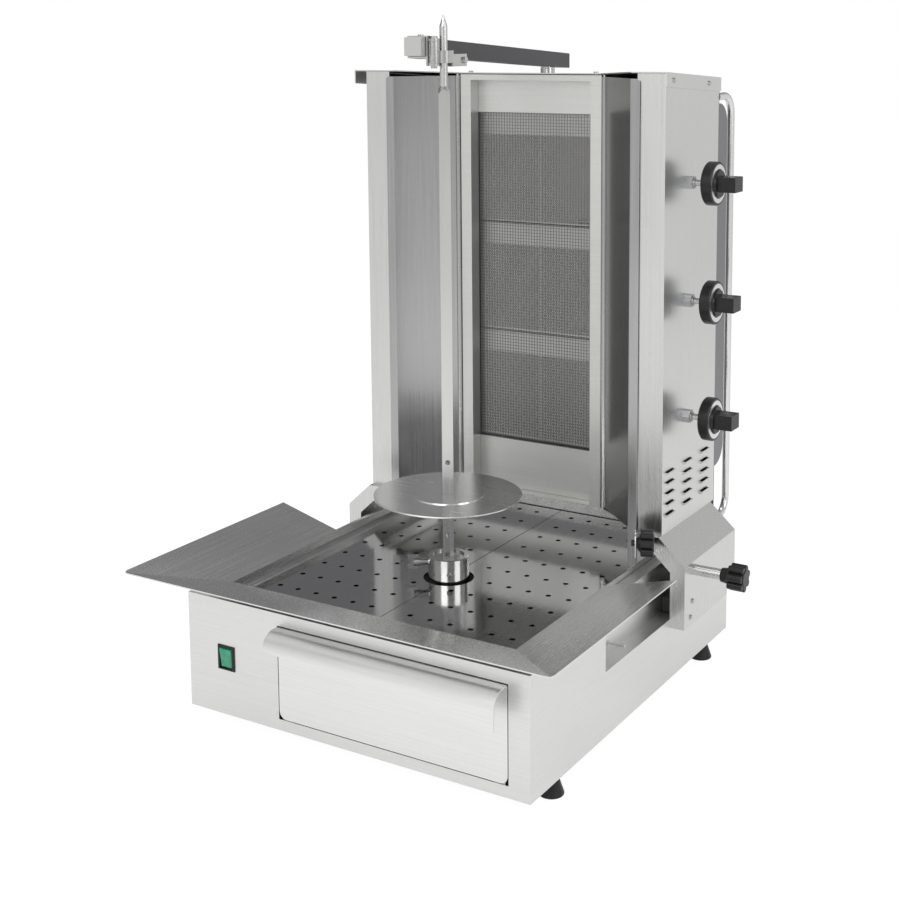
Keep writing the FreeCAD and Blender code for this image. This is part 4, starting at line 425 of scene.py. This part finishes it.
def studio_air():
    """White surroundings for the camera, a grey room in reflections, softer light for the rest."""
    world = bpy.data.worlds.new("studio_air")
    world.use_nodes = True
    tree = world.node_tree
    tree.nodes.clear()
    path = tree.nodes.new("ShaderNodeLightPath")
    white = tree.nodes.new("ShaderNodeBackground")
    white.inputs["Color"].default_value = (1, 1, 1, 1)
    white.inputs["Strength"].default_value = 1.0
    soft = tree.nodes.new("ShaderNodeBackground")
    soft.inputs["Color"].default_value = (1, 1, 1, 1)
    soft.inputs["Strength"].default_value = SOFT_AIR
    room = tree.nodes.new("ShaderNodeBackground")
    direction = tree.nodes.new("ShaderNodeTexCoord")
    parts = tree.nodes.new("ShaderNodeSeparateXYZ")
    height = tree.nodes.new("ShaderNodeValToRGB")
    steps = height.color_ramp
    steps.elements[0].position = 0.0
    steps.elements[0].color = (0.95, 0.95, 0.95, 1)
    steps.elements[1].position = 1.0
    steps.elements[1].color = (0.45, 0.45, 0.46, 1)
    room.inputs["Strength"].default_value = 1.0
    tree.links.new(direction.outputs["Generated"], parts.inputs["Vector"])
    tree.links.new(parts.outputs["Z"], height.inputs["Fac"])
    across = tree.nodes.new("ShaderNodeVectorMath")
    across.operation = "DOT_PRODUCT"
    across.inputs[1].default_value = DARK_TO_LIGHT_SIDE
    tree.links.new(direction.outputs["Generated"], across.inputs[0])
    sides = tree.nodes.new("ShaderNodeValToRGB")
    bands = sides.color_ramp
    bands.elements[0].position = 0.0
    bands.elements[0].color = (0.20, 0.20, 0.21, 1)
    bands.elements[1].position = 1.0
    bands.elements[1].color = (0.50, 0.50, 0.51, 1)
    for place, grey in ((0.22, 0.36), (0.42, 0.95), (0.64, 0.95), (0.82, 0.55)):
        bands.elements.new(place).color = (grey, grey, grey, 1)
    tree.links.new(spread(tree, across.outputs["Value"], 0, 1, -1, 1), sides.inputs["Fac"])
    both = tree.nodes.new("ShaderNodeMix")
    both.data_type = "RGBA"
    both.blend_type = "MULTIPLY"
    both.inputs["Factor"].default_value = 1.0
    tree.links.new(height.outputs["Color"], both.inputs["A"])
    tree.links.new(sides.outputs["Color"], both.inputs["B"])
    tree.links.new(both.outputs["Result"], room.inputs["Color"])
    glossy = combined(tree, "MAXIMUM", path.outputs["Is Glossy Ray"],
                      path.outputs["Is Transmission Ray"])
    first = tree.nodes.new("ShaderNodeMixShader")
    tree.links.new(glossy, first.inputs["Fac"])
    tree.links.new(soft.outputs["Background"], first.inputs[1])
    tree.links.new(room.outputs["Background"], first.inputs[2])
    last = tree.nodes.new("ShaderNodeMixShader")
    tree.links.new(path.outputs["Is Camera Ray"], last.inputs["Fac"])
    tree.links.new(first.outputs["Shader"], last.inputs[1])
    tree.links.new(white.outputs["Background"], last.inputs[2])
    output = tree.nodes.new("ShaderNodeOutputWorld")
    tree.links.new(last.outputs["Shader"], output.inputs["Surface"])
    bpy.context.scene.world = world


def soft_lamp(name, spot, aim, size, power):
    """Large square lamp that points at a spot on the grill."""
    data = bpy.data.lights.new(name, "AREA")
    data.size = size
    data.energy = power
    lamp = bpy.data.objects.new(name, data)
    lamp.location = spot
    lamp.rotation_euler = (Vector(aim) - Vector(spot)).to_track_quat("-Z", "Y").to_euler()
    bpy.context.scene.collection.objects.link(lamp)


def photo_camera():
    """Camera at the photograph's place, turn and lens."""
    data = bpy.data.cameras.new("photo_camera")
    data.sensor_width = CAMERA_SENSOR
    data.lens = CAMERA_LENS
    data.shift_y = CAMERA_SHIFT
    camera = bpy.data.objects.new("photo_camera", data)
    turn = (Matrix.Rotation(math.radians(CAMERA_TURN), 4, "Z")
            @ Matrix.Rotation(math.radians(90 - CAMERA_LOOK_DOWN), 4, "X")
            @ Matrix.Rotation(math.radians(CAMERA_LEAN), 4, "Z"))
    camera.matrix_world = Matrix.Translation(CAMERA_SPOT) @ turn
    bpy.context.scene.collection.objects.link(camera)
    bpy.context.scene.camera = camera


studio_floor()
studio_air()
soft_lamp("lamp_front", (0.3, -2.6, 1.9), (0, 0, 0.3), 1.8, 35)
soft_lamp("lamp_right", (2.6, -0.4, 1.6), (0, 0, 0.4), 1.6, 20)
soft_lamp("lamp_top", (-0.6, 0.2, 2.8), (0, 0, 0.3), 1.8, 20)
photo_camera()
bpy.context.scene.view_settings.view_transform = "Standard"
